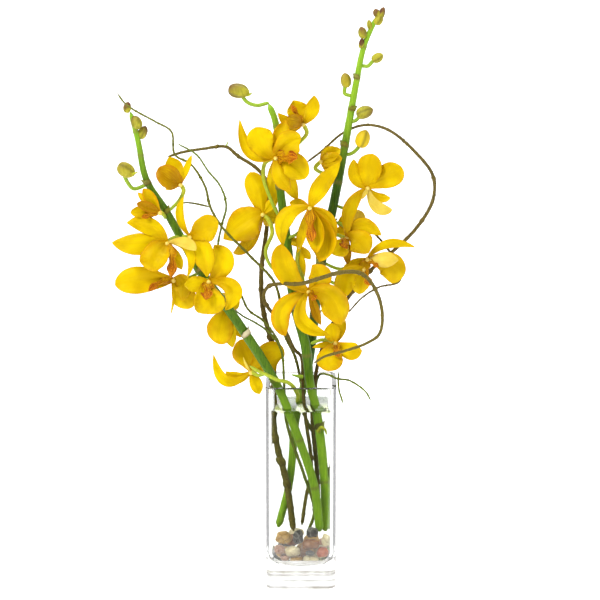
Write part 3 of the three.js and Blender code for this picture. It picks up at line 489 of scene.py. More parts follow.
def smooth_route(route, count):
    """Points at even steps on a rounded curve through the route (centripetal)."""
    p = np.asarray(route, float)
    p = np.vstack([2 * p[0] - p[1], p, 2 * p[-1] - p[-2]])
    dense = []
    for i in range(1, len(p) - 2):
        a, b, c, d = p[i - 1:i + 3]
        t0 = 0.0
        t1 = t0 + np.linalg.norm(b - a) ** 0.5
        t2 = t1 + np.linalg.norm(c - b) ** 0.5
        t3 = t2 + np.linalg.norm(d - c) ** 0.5
        t = np.linspace(t1, t2, CURVE_STEPS, endpoint=False)[:, None]
        ab = (t1 - t) / (t1 - t0) * a + (t - t0) / (t1 - t0) * b
        bc = (t2 - t) / (t2 - t1) * b + (t - t1) / (t2 - t1) * c
        cd = (t3 - t) / (t3 - t2) * c + (t - t2) / (t3 - t2) * d
        abc = (t2 - t) / (t2 - t0) * ab + (t - t0) / (t2 - t0) * bc
        bcd = (t3 - t) / (t3 - t1) * bc + (t - t1) / (t3 - t1) * cd
        dense.append((t2 - t) / (t2 - t1) * abc + (t - t1) / (t2 - t1) * bcd)
    dense = np.vstack(dense + [p[-2][None]])
    run = np.r_[0, np.cumsum(np.linalg.norm(np.diff(dense, axis=0), axis=1))]
    even = np.linspace(0, run[-1], count)
    return np.column_stack([np.interp(even, run, dense[:, k]) for k in range(3)])


def radii_along(radii, count):
    return np.interp(np.linspace(0, len(radii) - 1, count), range(len(radii)), radii)


print("the left stem's route has", len(STEMS["stem_left"]["route"]), "points before smoothing")

# %% [markdown]
# ## Node materials
# Each material is a small network: masks and noise mix a few colours, and the result feeds
# one plain surface shader. `net` keeps the wiring short.

# %% Material helpers
def linear(color):
    parts = [int(color[k:k + 2], 16) / 255 for k in (0, 2, 4)]
    return [*(c / 12.92 if c <= 0.04045 else ((c + 0.055) / 1.055) ** 2.4 for c in parts), 1.0]


class Net:
    """A node tree being wired: each method adds one node and returns its output."""

    def __init__(self, tree):
        self.tree = tree

    def feed(self, value, socket):
        if isinstance(value, bpy.types.NodeSocket):
            self.tree.links.new(value, socket)
        elif socket.type == "RGBA":
            socket.default_value = linear(value)
        else:
            socket.default_value = value

    def put(self, kind, feeds=None, **settings):
        """Adds a node with its settings, feeds its inputs and returns all its outputs."""
        made = self.tree.nodes.new(kind)
        for key, value in settings.items():
            setattr(made, key, value)
        for key, value in (feeds or {}).items():
            self.feed(value, made.inputs[key])
        return made.outputs

    def value(self, name):
        return self.put("ShaderNodeAttribute", attribute_name=name)["Fac"]

    def place(self):
        return self.put("ShaderNodeTexCoord")["Object"]

    def noise(self, scale, detail=3.0, rough=0.5, vector=None):
        return self.put("ShaderNodeTexNoise", {"Vector": vector or self.place(), "Scale": scale,
                                               "Detail": detail, "Roughness": rough})["Fac"]

    def stretch(self, vector, scale):
        return self.put("ShaderNodeMapping", {"Vector": vector, "Scale": scale})["Vector"]

    def streaks(self, scale, detail=3.0, rough=0.6, vector=None):
        """Noise drawn out into fibres."""
        return self.noise(1.0, detail, rough, self.stretch(vector or self.place(), scale))

    def cells(self, scale, vector=None, feature="F1"):
        feeds = {"Vector": vector or self.place(), "Scale": scale}
        return self.put("ShaderNodeTexVoronoi", feeds, feature=feature)["Distance"]

    def band(self, value, low, high, out_low=0.0, out_high=1.0):
        feeds = {"Value": value, "From Min": low, "From Max": high, "To Min": out_low,
                 "To Max": out_high}
        return self.put("ShaderNodeMapRange", feeds, interpolation_type="SMOOTHSTEP")["Result"]

    def math(self, operation, a, b):
        return self.put("ShaderNodeMath", {0: a, 1: b}, operation=operation)[0]

    def times(self, a, b):
        return self.math("MULTIPLY", a, b)

    def mix(self, share, a, b):
        return self.put("ShaderNodeMix", {0: share, 6: a, 7: b}, data_type="RGBA")[2]

    def bump(self, height, strength, distance):
        return self.put("ShaderNodeBump", {"Strength": strength, "Distance": distance,
                                           "Height": height})["Normal"]

    def blend(self, share, surface, other):
        """Lets a share of a second shader into the material's surface."""
        both = self.put("ShaderNodeMixShader", {0: share, 1: surface.outputs[0], 2: other[0]})
        self.feed(both[0], self.tree.nodes["Material Output"].inputs["Surface"])

    def dress(self, surface, color, roughness, bumps):
        """Feeds a surface its colour, its roughness and its bumps."""
        for value, key in ((color, "Base Color"), (roughness, "Roughness"), (bumps, "Normal")):
            self.feed(value, surface.inputs[key])


SHEEN = 0.22  # how strongly plant skins shine, where 0.5 is common


def new_material(name, roughness, shine=0.5):
    material = bpy.data.materials.new(name)
    material.use_nodes = True
    net = Net(material.node_tree)
    surface = material.node_tree.nodes["Principled BSDF"]
    surface.inputs["Roughness"].default_value = roughness
    surface.inputs["Specular IOR Level"].default_value = shine
    return material, net, surface


print("node helpers ready")

# %% [markdown]
# ## The studio
# A pale sheet sweeps from floor to backdrop. Two grey boards stand at the sides, out of
# sight from the front, so that the clear glass shows its edges. The sheet in front is dull
# in reflections, which keeps the front of the glass free of haze.

# %% Floor and boards
def sheet_mesh(name, profile, half):
    points = [(x, y, z) for y, z in profile for x in (-half, half)]
    faces = [(2 * k, 2 * k + 1, 2 * k + 3, 2 * k + 2) for k in range(len(profile) - 1)]
    return make_mesh(name, points, faces)


DULL_FROM_TO = (-0.12, -0.26)  # metres in front of the vase
sheet_finish, net, surface = new_material("studio_sheet", 0.9)
grain = net.noise(6.0, 2.0)
in_front = net.band(net.put("ShaderNodeSeparateXYZ", {0: net.place()})["Y"], *DULL_FROM_TO)
mirrored = net.times(net.put("ShaderNodeLightPath")["Is Glossy Ray"], in_front)
net.feed(net.mix(mirrored, net.mix(grain, "F4F4F4", "FAFAFA"), "303030"),
         surface.inputs["Base Color"])
net.feed(net.mix(mirrored, net.mix(grain, "FFFFFF", "FCFCFC"), "000000"),
         surface.inputs["Emission Color"])
surface.inputs["Emission Strength"].default_value = 0.62

board_finish, net, surface = new_material("studio_board", 0.9)
net.feed(net.mix(net.noise(5.0), "C9C7C3", "D3D1CD"), surface.inputs["Base Color"])
net.feed(net.mix(net.noise(5.0), "D6D4D0", "E2E0DC"), surface.inputs["Emission Color"])
surface.inputs["Emission Strength"].default_value = 0.3

FLOOR, BEND_FROM, BEND_RADIUS, SHEET_HALF = -0.6, 1500, 900, 4000
bend = [(BEND_FROM + BEND_RADIUS * math.sin(a), FLOOR + BEND_RADIUS - BEND_RADIUS * math.cos(a))
        for a in np.linspace(0, math.pi / 2, 16)]
profile = [(-SHEET_HALF, FLOOR), *bend, (BEND_FROM + BEND_RADIUS, 4200)]
sweep = new_object("studio_sweep", sheet_mesh("studio_sweep", profile, SHEET_HALF))
sweep.data.materials.append(sheet_finish)
BOARD_SIDE, BOARD_OUTLINE = 620, ((-700, 0), (500, 0), (500, 900), (-700, 900))
boards = []
for side in (-BOARD_SIDE, BOARD_SIDE):
    corners = [(side, y, z) for y, z in BOARD_OUTLINE]
    boards.append(new_object("studio_board", make_mesh("studio_board", corners, [(0, 1, 2, 3)])))
    boards[-1].data.materials.append(board_finish)
print("one sheet and", len(boards), "boards")

# %% [markdown]
# ## Lights and camera
# Three soft lights look at the middle of the arrangement: one from the upper left, a weak
# one from the right and one from above. The camera looks slightly down on it.

# %% Lights and camera
LIGHTS_AIM = (0, 0, 0.32)


def soft_light(name, spot, size, watts):
    lamp = bpy.data.lights.new(name, "AREA")
    lamp.shape = "RECTANGLE"
    lamp.size, lamp.size_y = size
    lamp.energy = watts
    made = new_object(name, lamp)
    made.location = spot
    aim = Vector(LIGHTS_AIM) - Vector(spot)
    made.rotation_euler = aim.to_track_quat("-Z", "Y").to_euler()


soft_light("light_key", (-1.15, -1.5, 1.9), (0.7, 0.7), 48)
soft_light("light_fill", (1.5, -1.7, 1.0), (1.0, 1.0), 9)
soft_light("light_top", (0.2, 0.3, 2.3), (1.2, 1.0), 30)

world = bpy.data.worlds.new("studio")
world.use_nodes = True
sky = world.node_tree.nodes["Background"]
sky.inputs["Color"].default_value = (1, 1, 1, 1)
sky.inputs["Strength"].default_value = 0.3
bpy.context.scene.world = world
bpy.context.scene.view_settings.view_transform = "Standard"

camera = new_object("camera", bpy.data.cameras.new("camera"))
camera.data.lens = 130.8
camera.data.sensor_width = 36
camera.location = (-0.00105, -2.2472, 0.7979)
camera.rotation_euler = (math.radians(77.7), 0, 0)
bpy.context.scene.camera = camera
print("3 lights, and a camera", round(camera.location.length, 2), "m away")

# %% [markdown]
# ## Clear materials
# Glass and fill bend light. Grey is painted into their colour where they are seen at a slant,
# in lines at the glass's rim and foot, and in a band at the fill's top: painted shade and
# painted reflection. Light that is on its way to a shadow passes straight through, so the
# stems stay bright. So does light that has bounced inside the walls many times, a little dimmed.

# %% Glass and fill materials
GLASS_BENDS, FILL_BENDS = 1.5, 1.33
MANY_BOUNCES = 5.5


def clear_material(name, tint_a, tint_b, painted_line_color, index):
    """Clear material. Its points' value `edge` says where grey lines of painted shade and painted
    reflection go: the glass's rim and foot edges, and a band at the fill's top.
    """
    material, net, surface = new_material(name, 0.0, 0.12)
    body = net.mix(net.noise(9.0, 2.0), tint_a, tint_b)
    patchy = net.band(net.noise(70, 3.0, 0.6), 0.3, 0.7, 0.55, 1.0)
    # painted shade and reflection: grey is painted in patches where `edge` is set
    body = net.mix(net.times(net.value("edge"), patchy), body, painted_line_color)
    slant = net.put("ShaderNodeLayerWeight")["Facing"]
    # painted shade: the colour turns grey where the surface is seen at a slant
    body = net.mix(net.band(slant, 0.8, 1.0, 0.0, 0.6), body, "8C8A86")
    net.feed(body, surface.inputs["Base Color"])
    surface.inputs["Transmission Weight"].default_value = 1.0
    surface.inputs["IOR"].default_value = index
    net.feed(net.bump(net.noise(14.0, 1.0), 0.05, 0.002), surface.inputs["Normal"])
    path = net.put("ShaderNodeLightPath")
    shadow = path["Is Shadow Ray"]
    trapped = net.math("GREATER_THAN", path["Ray Depth"], MANY_BOUNCES)
    clear = net.put("ShaderNodeBsdfTransparent", {"Color": net.mix(shadow, "D4D4D6", tint_a)})
    net.blend(net.math("MAXIMUM", shadow, trapped), surface, clear)
    return material


# the third colour is the painted grey of the edge lines and of the fill's top band
glass = clear_material("glass", "F6F8F7", "FBFCFB", "6B655A", GLASS_BENDS)
fill = clear_material("clear_fill", "F9FAF4", "FCFDF8", "98A634", FILL_BENDS)
print("2 clear materials")

# %% [markdown]
# ## Glass and clear fill
# The vase is a square with round corners outside and inside. Its hollow ends in a rounded
# floor over a thick foot. The fill stands a hair inside the glass and ends below the rim.

# %% Rings and hollows
CORNER_STEPS = 10


def ring(half, corner, z):
    points = []
    for quarter in range(4):
        facing = (quarter + 0.5) * math.pi / 2
        middle = (half - corner) * math.sqrt(2)
        for step in range(CORNER_STEPS + 1):
            angle = (quarter + step / CORNER_STEPS) * math.pi / 2
            points.append((middle * math.cos(facing) + corner * math.cos(angle),
                           middle * math.sin(facing) + corner * math.sin(angle), z))
    return points


def turned(rings):
    """A closed skin through a list of rings, with a flat cap on the first and the last."""
    count = len(rings[0])
    points = [p for row in rings for p in row]
    faces = tube_faces(len(rings) - 1, count)
    faces.append(tuple(range(count - 1, -1, -1)))
    faces.append(tuple(range(len(points) - count, len(points))))
    return points, faces


vase_low, vase_high = (np.array(corner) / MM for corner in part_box("glass_vase"))
HALF = (vase_high[0] - vase_low[0]) / 2
RIM = vase_high[2]
WALL, BASE, CORNER, HOLLOW_CORNER, FLOOR_ROUND = 5.0, 20.0, 9.0, 6.0, 18.0
ROUNDER_BELOW = 0.6  # how far the hollow turns from square to round at its floor
FOOT_ROUND, LIP_ROUND = 1.2, 1.0
FOOT_EDGE_TOP, FOOT_LINES = 2.6, (9.5, 20.0)
SIDE_HEIGHTS = (FOOT_EDGE_TOP, 4.0, 7.8, FOOT_LINES[0], 11.2, 18.2, FOOT_LINES[1], 21.8)


def hollow_rings(half, bottom, top):
    rows = []
    for degrees in (4, 12, 22, 32, 42, 52, 62, 72, 81, 90):
        angle = math.radians(degrees)
        inset = FLOOR_ROUND * (1 - math.sin(angle))
        rise = FLOOR_ROUND * (1 - math.cos(angle))
        corner = HOLLOW_CORNER + (half - HOLLOW_CORNER) * ROUNDER_BELOW * inset / FLOOR_ROUND
        rows.append(ring(half - inset, corner, bottom + rise))
    return rows + [ring(half, HOLLOW_CORNER, z) for z in (bottom + 40, top - 2.5, top)]


print("the vase is", round(2 * HALF), "mm wide and", round(RIM), "mm high")

# %% [markdown]
# The skin of the vase runs up its outside, over the lip and down its hollow. The rim, the foot's
# rounded edge and two lines above it have painted grey, and so does the foot, a little: painted
# shade and reflection.

# %% Vase and fill
INNER_LIP = 0.6
quarter_turn = np.linspace(0, math.pi / 2, 5)
foot = [ring(HALF - FOOT_ROUND * (1 - math.sin(a)), CORNER, FOOT_ROUND * (1 - math.cos(a)))
        for a in quarter_turn]
sides = [ring(HALF, CORNER, z) for z in (*SIDE_HEIGHTS, RIM - 3.5)]
lip = [ring(HALF - LIP_ROUND * (1 - math.cos(a)), CORNER, RIM - LIP_ROUND + LIP_ROUND * math.sin(a))
       for a in quarter_turn]
hollow = hollow_rings(HALF - WALL, BASE, RIM - INNER_LIP)
mouth = ring(HALF - WALL + INNER_LIP, HOLLOW_CORNER, RIM)
vase_points, vase_faces = turned([*foot, *sides, *lip, mouth, *hollow[::-1]])


def painted_vase_grey(z):
    """How much painted grey the glass has at a height: painted shade and reflection at its edges.
    """
    if z > RIM - 0.8 or z <= FOOT_EDGE_TOP or z in FOOT_LINES:
        return 1.0
    return 0.36 if z < BASE else 0.0


vase_painted_grey = [painted_vase_grey(z) for _, _, z in vase_points]
vase_mesh = make_mesh("glass_vase", vase_points, vase_faces, {"edge": vase_painted_grey})
vase_mesh.set_sharp_from_angle(angle=math.radians(40))
show("vase", vase_mesh, glass, ["glass_vase"])

fill_low, fill_high = (np.array(corner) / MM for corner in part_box("clear_fill"))
fill_half = (fill_high[0] - fill_low[0]) / 2
fill_rows = hollow_rings(fill_half, BASE + 0.3, fill_high[2] - INNER_LIP)
fill_rows.append(ring(fill_half - INNER_LIP, HOLLOW_CORNER, fill_high[2]))
fill_points, fill_faces = turned(fill_rows)
# a painted reflection band at the top of the fill
fill_painted_band = [float(z > fill_high[2] - 0.7) for _, _, z in fill_points]
fill_mesh = make_mesh("clear_fill", fill_points, fill_faces, {"edge": fill_painted_band})
fill_mesh.set_sharp_from_angle(angle=math.radians(40))
show("fill", fill_mesh, fill, ["clear_fill"])
print("the fill is", round(fill_high[2] - BASE), "mm deep")

# %% [markdown]
# ## Pebbles
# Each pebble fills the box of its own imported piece: a fine ball, pushed slightly square,
# with low swells. Its stone is speckled, veined or cracked by kind.

# %% Stone materials
STONES = {  # base, light and dark colour, and how deep its cracks are
    "pebble_tan": ("B4863C", "CCA662", "7E5724", 0.55),
    "pebble_dark": ("2E2A26", "4A4540", "C2BEB4", 0.3),
    "pebble_ochre": ("7C4716", "A0682C", "58300E", 0.35),
    "pebble_pink": ("A0705A", "BE9680", "78503E", 0.45),
    "pebble_cream": ("CFBC90", "E2D5B4", "A0885C", 0.5),
    "pebble_red": ("A2400F", "C2652A", "6E280A", 0.4),
}


def stone(name, base, light, dark, cracks):
    material, net, surface = new_material(name, 0.42)
    coat = net.band(net.noise(160, 4.0, 0.65), 0.35, 0.7)
    body = net.mix(coat, base, light)
    vein = net.band(net.cells(70, feature="DISTANCE_TO_EDGE"), 0.0, 0.06, cracks, 0.0)
    speck = net.band(net.noise(900, 2.0, 0.6), 0.6, 0.72)
    color = net.mix(net.times(speck, 0.5), net.mix(vein, body, dark), dark)
    height = net.math("ADD", net.noise(420, 4.0, 0.6), net.times(vein, -0.8))
    net.dress(surface, color, net.band(coat, 0.0, 1.0, 0.34, 0.58), net.bump(height, 0.35, 0.0008))
    return material


STONE_FINISH = {key: stone(key, *value) for key, value in STONES.items()}
print(len(STONE_FINISH), "kinds of stone")

# %% [markdown]
# The same ball serves all pebbles. Its swells come from smooth noise, moved on for each
# pebble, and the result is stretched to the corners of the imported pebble's box.

# %% Pebble shapes
BALL_CUTS, SQUARE_POWER = 5, 0.88


def ball(cuts):
    ico = bpy.data.meshes.new("ball")
    work = bmesh.new()
    bmesh.ops.create_icosphere(work, subdivisions=cuts, radius=1.0)
    work.to_mesh(ico)
    work.free()
    points = np.array([v.co for v in ico.vertices])
    faces = [tuple(f.vertices) for f in ico.polygons]
    bpy.data.meshes.remove(ico)
    return points, faces


BALL, BALL_FACES = ball(BALL_CUTS)
node_slot = {item["node"]: item["material_slot"] for item in frame["record"]["subparts"]}
pebbles = sorted(name for name in frame["nodes"] if name.startswith("pebble_"))
rolled = np.sign(BALL) * np.abs(BALL) ** SQUARE_POWER
for index, name in enumerate(pebbles):
    low, high = (np.array(corner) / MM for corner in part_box(name))
    swell = [1 + 0.16 * noise.noise(Vector(p * 1.3) + Vector((7.3 * index, 2.1, 5.0)))
             + 0.05 * noise.noise(Vector(p * 3.1) + Vector((1.7, 9.2 * index, 3.0)))
             for p in rolled]
    shape = rolled * np.array(swell)[:, None]
    shape = (shape - shape.min(0)) / (shape.max(0) - shape.min(0))
    mesh = make_mesh(name, low + shape * (high - low), BALL_FACES)
    slot = node_slot[name]
    show("stone_" + name[-2:], mesh, STONE_FINISH[slot], [name])
print(len(pebbles), "pebbles")

# %% [markdown]
# ## Growing stalks with geometry nodes
# A stalk is drawn as a thin line of points, each with its thickness. A small node group
# wraps the line in a round skin, closes its ends, roughens it, and sets scales or knots
# along it at even steps, larger and smaller by a fixed seed.

# %% The stalk node group
GROW_INPUTS = (("Sides", "Int", 14), ("Rough", "Float", 0.0), ("Rough Scale", "Float", 400.0),
               ("Knot Spacing", "Float", 0.02), ("Knot Size", "Float", 0.0),
               ("Knot Length", "Float", 1.6), ("Seed", "Int", 3), ("Material", "Material", None))
ROUGH_MIDDLE = 0.62  # noise above this swells the skin, and noise below it sinks it
KNOT_SIZES, KNOT_LEANS = (0.75, 1.25), ((-0.5, -0.5, 0.0), (0.5, 0.5, 6.28))


def stalk_group():
    """The node group, and the identifier of each of its inputs."""
    tree = bpy.data.node_groups.new("grow_stalk", "GeometryNodeTree")
    face, net, ids = tree.interface, Net(tree), {}
    face.new_socket("Geometry", in_out="INPUT", socket_type="NodeSocketGeometry")
    for key, kind, value in GROW_INPUTS:
        socket = face.new_socket(key, in_out="INPUT", socket_type="NodeSocket" + kind)
        ids[key] = socket.identifier
        if value is not None:
            socket.default_value = value
    face.new_socket("Geometry", in_out="OUTPUT", socket_type="NodeSocketGeometry")

    put = net.put
    given = put("NodeGroupInput")
    thick = put("GeometryNodeInputNamedAttribute", {"Name": "thick"})[0]

    # the round skin, pushed in and out along its normals
    line = put("GeometryNodeMeshToCurve", {0: given["Geometry"]})[0]
    circle = put("GeometryNodeCurvePrimitiveCircle",
                 {"Radius": 1.0, "Resolution": given["Sides"]})[0]
    skin = put("GeometryNodeCurveToMesh", {"Curve": line, "Profile Curve": circle,
                                           "Scale": thick, "Fill Caps": True})[0]
    bark = put("ShaderNodeTexNoise", {"Scale": given["Rough Scale"]})["Fac"]
    depth = net.times(net.math("SUBTRACT", bark, ROUGH_MIDDLE), given["Rough"])
    push = put("ShaderNodeVectorMath", {0: put("GeometryNodeInputNormal")[0], "Scale": depth},
               operation="SCALE")[0]
    worn = put("GeometryNodeSetPosition", {"Geometry": skin, "Offset": push})[0]

    # knots: stretched beads at even steps, each leaned and sized by the seed
    spots = put("GeometryNodeCurveToPoints",
                {"Curve": line, "Length": given["Knot Spacing"]}, mode="LENGTH")
    bead = put("GeometryNodeMeshIcoSphere", {"Radius": 1.0, "Subdivisions": 3})[0]
    longer = put("ShaderNodeCombineXYZ", {0: 1.0, 1: 1.0, 2: given["Knot Length"]})[0]
    bead = put("GeometryNodeTransform", {"Geometry": bead, "Scale": longer})[0]
    turn = put("FunctionNodeRandomValue", {0: KNOT_LEANS[0], 1: KNOT_LEANS[1],
                                           "Seed": given["Seed"]}, data_type="FLOAT_VECTOR")[0]
    lean = put("FunctionNodeRotateRotation", {0: spots["Rotation"], 1: turn},
               rotation_space="LOCAL")[0]
    size = put("FunctionNodeRandomValue", {2: KNOT_SIZES[0], 3: KNOT_SIZES[1],
                                           "Seed": given["Seed"]}, data_type="FLOAT")[1]
    size = net.times(net.times(size, given["Knot Size"]), thick)
    knots = put("GeometryNodeInstanceOnPoints", {"Points": spots["Points"], "Instance": bead,
                                                 "Rotation": lean, "Scale": size})[0]

    both = tree.nodes.new("GeometryNodeJoinGeometry")
    for part in (worn, knots):
        net.feed(part, both.inputs[0])
    real = put("GeometryNodeRealizeInstances", {0: both.outputs[0]})[0]
    smooth = put("GeometryNodeSetShadeSmooth", {0: real})[0]
    coat = put("GeometryNodeSetMaterial", {"Geometry": smooth, "Material": given["Material"]})[0]
    net.feed(coat, tree.nodes.new("NodeGroupOutput").inputs[0])
    return tree, ids


GROW, GROW_IDS = stalk_group()
print("the stalk group takes", ", ".join(GROW_IDS))

# %% [markdown]
# `grow` draws the lines of one piece, lets the group wrap them, and keeps the result as a
# finished mesh. Both ends of a line are rounded by making its last points thinner.

# %% Growing a piece
def drawn_line(name, lines, values=()):
    """Lines of points as one mesh of edges. Each line is (points, radii, {name: numbers})."""
    points, edges, thick, extra = [], [], [], {key: [] for key in values}
    for route, radii, numbers in lines:
        start = len(points)
        points.extend((np.asarray(route) * MM).tolist())
        edges.extend((start + k, start + k + 1) for k in range(len(route) - 1))
        thick.extend((np.asarray(radii) * MM).tolist())
        for key in values:
            extra[key].extend(np.broadcast_to(numbers[key], len(route)).tolist())
    mesh = bpy.data.meshes.new(name)
    mesh.from_pydata(points, edges, [])
    add_values(mesh, {"thick": thick, **extra})
    return mesh


def grow(name, lines, material, slot, nodes, values=(), **inputs):
    draft = new_object(name + "_draft", drawn_line(name, lines, values))
    modifier = draft.modifiers.new("grow", "NODES")
    modifier.node_group = GROW
    modifier[GROW_IDS["Material"]] = material
    for key, value in inputs.items():
        modifier[GROW_IDS[key.replace("_", " ")]] = value
    ready = draft.evaluated_get(bpy.context.evaluated_depsgraph_get())
    mesh = bpy.data.meshes.new_from_object(ready)
    mesh.name = name
    bpy.data.objects.remove(draft)
    show(name, mesh, material, nodes)


def rounded_ends(radii, low=0.25, steps=3):
    radii = np.array(radii, float)
    for k in range(steps):
        share = low + (1 - low) * math.sin(math.pi / 2 * k / steps)
        radii[k] *= share
        radii[-1 - k] *= share
    return radii


print("a stalk 8 points long has ends of", rounded_ends(np.ones(8)).round(2)[:3], "and 1")

# %% [markdown]
# ## Green and woody skins
# Stems are fibrous green, brighter in the vase and near their tips. Between the rim and the
# blooms they carry a painted shade, darkest in the middle of the right-hand spray. Twigs are
# olive-brown bark with pale flecks, and turn greener in the vase and towards their young ends.

# %% Stem, twig and stalk materials
def stem_material():
    material, net, surface = new_material("green_stem", 0.42, SHEEN)
    fibre = net.streaks((900, 900, 40), 4.0)
    patch = net.noise(30, 3.0)
    green = net.mix(net.band(fibre, 0.3, 0.7), "56800E", "84AA20")
    deep = net.mix(net.band(fibre, 0.3, 0.7), "284804", "3E6608")
    # painted shade: the darker green where `deep` is set, between the rim and the blooms
    color = net.mix(net.value("deep"), green, deep)
    color = net.mix(net.band(patch, 0.55, 0.75, 0.0, 0.35), color, "7E9430")
    color = net.mix(net.value("fresh"), color, net.mix(fibre, "82B41C", "A2C830"))
    color = net.mix(net.value("husk"), color, net.mix(fibre, "8A7B3E", "5C4A22"))
    net.dress(surface, color, net.band(fibre, 0.2, 0.8, 0.36, 0.55), net.bump(fibre, 0.4, 0.0006))
    return material


def twig_material(name, dark, light, young):
    material, net, surface = new_material(name, 0.68, SHEEN)
    grain = net.streaks((700, 700, 160), 4.0, 0.65)
    color = net.mix(net.band(grain, 0.3, 0.7), dark, light)
    color = net.mix(net.times(net.value("fresh"), 0.85), color, young)
    fleck = net.band(net.noise(1400, 2.0), 0.62, 0.72, 0.0, 0.35)
    color = net.mix(fleck, color, "B9AA78")
    bark = net.bump(net.math("ADD", grain, fleck), 0.5, 0.0006)
    net.dress(surface, color, net.band(grain, 0.2, 0.8, 0.55, 0.8), bark)
    return material


def stalk_material():
    material, net, surface = new_material("flower_stalk", 0.45, SHEEN)
    fibre = net.streaks((800, 800, 90))
    color = net.mix(net.band(fibre, 0.3, 0.7), "97A01C", "BDB92E")
    color = net.mix(net.value("fresh"), color, net.mix(fibre, "6E9A22", "8DB038"))
    net.dress(surface, color, net.band(fibre, 0.2, 0.8, 0.38, 0.55), net.bump(fibre, 0.3, 0.0005))
    return material


green_stem = stem_material()
flower_stalk = stalk_material()
TWIG_FINISH = {"brown_twig": twig_material("brown_twig", "3A2E10", "6E5A24", "6A6420"),
               "green_twig": twig_material("green_twig", "4A430F", "7C7022", "62761E")}
print("4 plant skins")

# %% [markdown]
# ## Stems
# Each stem is one smooth stalk. It thickens in a low ring at every joint, and a little as a
# whole above the rim. It is fresh green in the vase and again near its tip.

# %% Stems and their joints
STEM_POINTS, JOINT_LENGTH, JOINT_SWELL = 320, 0.004, 0.09
SLIM, THICKER_ABOVE = 0.99, 0.16


def rising(height, start, over):
    """0 up to a height in millimetres, then rising to 1."""
    return np.clip((height - start) / over, 0, 1)


def falling(height, end, over):
    """Falling from 1 to 0, which it reaches at a height in millimetres."""
    return np.clip((end - height) / over, 0, 1)


JOINTS = {  # share of the stem's length
    "stem_left": (0.1, 0.21, 0.35, 0.47, 0.56, 0.64, 0.71, 0.78, 0.85, 0.91, 0.96),
    "stem_middle": (0.12, 0.25, 0.42, 0.53, 0.63, 0.73, 0.81, 0.89, 0.95),
    "stem_right": (0.08, 0.18, 0.3, 0.42, 0.52, 0.6, 0.68, 0.75, 0.82, 0.88, 0.94),
}
# the strength of each stem's painted shade among the blooms
PAINTED_STEM_SHADE = {"stem_left": 0.7, "stem_middle": 0.7, "stem_right": 1.0}  # how dark a green
stem_lines = {}
for name, stem in STEMS.items():
    route = smooth_route(stem["route"], STEM_POINTS)
    along = np.linspace(0, 1, STEM_POINTS)
    height = route[:, 2]
    radii = radii_along(stem["radii"], STEM_POINTS)
    radii *= SLIM + THICKER_ABOVE * rising(height, 215, 40)
    ringed = np.zeros(STEM_POINTS)
    for joint in JOINTS[name]:
        ringed = np.maximum(ringed, np.exp(-((along - joint) / JOINT_LENGTH) ** 2))
    radii = rounded_ends(radii * (1 + JOINT_SWELL * ringed), low=0.3, steps=4)
    fresh = falling(height, 235, 30) * 0.45 + rising(height, 430, 90) * 0.5
    # painted shade between the rim and the blooms, weaker above them
    deep = PAINTED_STEM_SHADE[name] * np.maximum(falling(height, 500, 60), 0.1) * rising(height, 195, 30)
    tones = {"deep": deep, "fresh": fresh, "husk": 0.55 * ringed}
    stem_lines[name] = (route, radii)
    grow(name + "_stalk", [(route, radii, tones)], green_stem, "green_stem", [name], tones,
         Sides=28, Rough=0.0004, Rough_Scale=160.0, Knot_Spacing=1.0, Seed=2)

# %% [markdown]
# ## Curly twigs
# A twig swells into a knot every couple of centimetres. Its end is younger, so it is
# thinner and greener. Side shoots are branches of the same piece.

# %% Twigs with knots
TWIG_STEP, FEWEST_POINTS = 1.6, 24
KNOT_EVERY, KNOT_HALF, KNOT_SWELL = 26, 1.5, 0.14
TWIG_STOUT, WET_BELOW, WET_SWELL, WET_GREEN = 1.18, 215, 0.16, 0.8


def length_of(points):
    return np.linalg.norm(np.diff(np.array(points), axis=0), axis=1).sum()


def twig_line(route, radii, young):
    count = max(FEWEST_POINTS, int(length_of(route) / TWIG_STEP))
    points = smooth_route(route, count)
    along = np.linspace(0, 1, count)
    run = np.linspace(0, length_of(points), count)
    knot = np.exp(-((run % KNOT_EVERY - KNOT_EVERY / 2) / KNOT_HALF) ** 2)
    wet = falling(points[:, 2], WET_BELOW, 20)
    size = radii_along(radii, count) * TWIG_STOUT * (1 + KNOT_SWELL * knot)
    size *= 1 + WET_SWELL * wet
    fresh = young[0] + (young[1] - young[0]) * along
    fresh = np.maximum(fresh, WET_GREEN * wet)
    return points, rounded_ends(size), {"fresh": fresh}


# how green each twig is at its foot and at its end
YOUNG = {"twig_trunk": (0.0, 0.5), "twig_right": (0.0, 0.35), "twig_front": (0.0, 0.6),
         "twig_far": (0.3, 0.5), "twig_inner": (0.6, 1.0), "twig_tendril": (0.6, 1.0)}
for number, (name, (finish, branches)) in enumerate(TWIGS.items()):
    lines = [twig_line(route, radii, YOUNG[name]) for radii, route in branches]
    grow(name + "_wood", lines, TWIG_FINISH[finish], finish, [name], ("fresh",),
         Sides=14, Rough=0.0009, Rough_Scale=420.0, Knot_Spacing=0.026, Knot_Size=1.08,
         Knot_Length=1.5, Seed=11 + number)
print(len(TWIGS), "twigs")

# %% [markdown]
# ## Buds
# A bud is a pointed egg of three folded sepals. Shallow seams run from its stalk to its
# tip, where the sepals meet in a small beak.

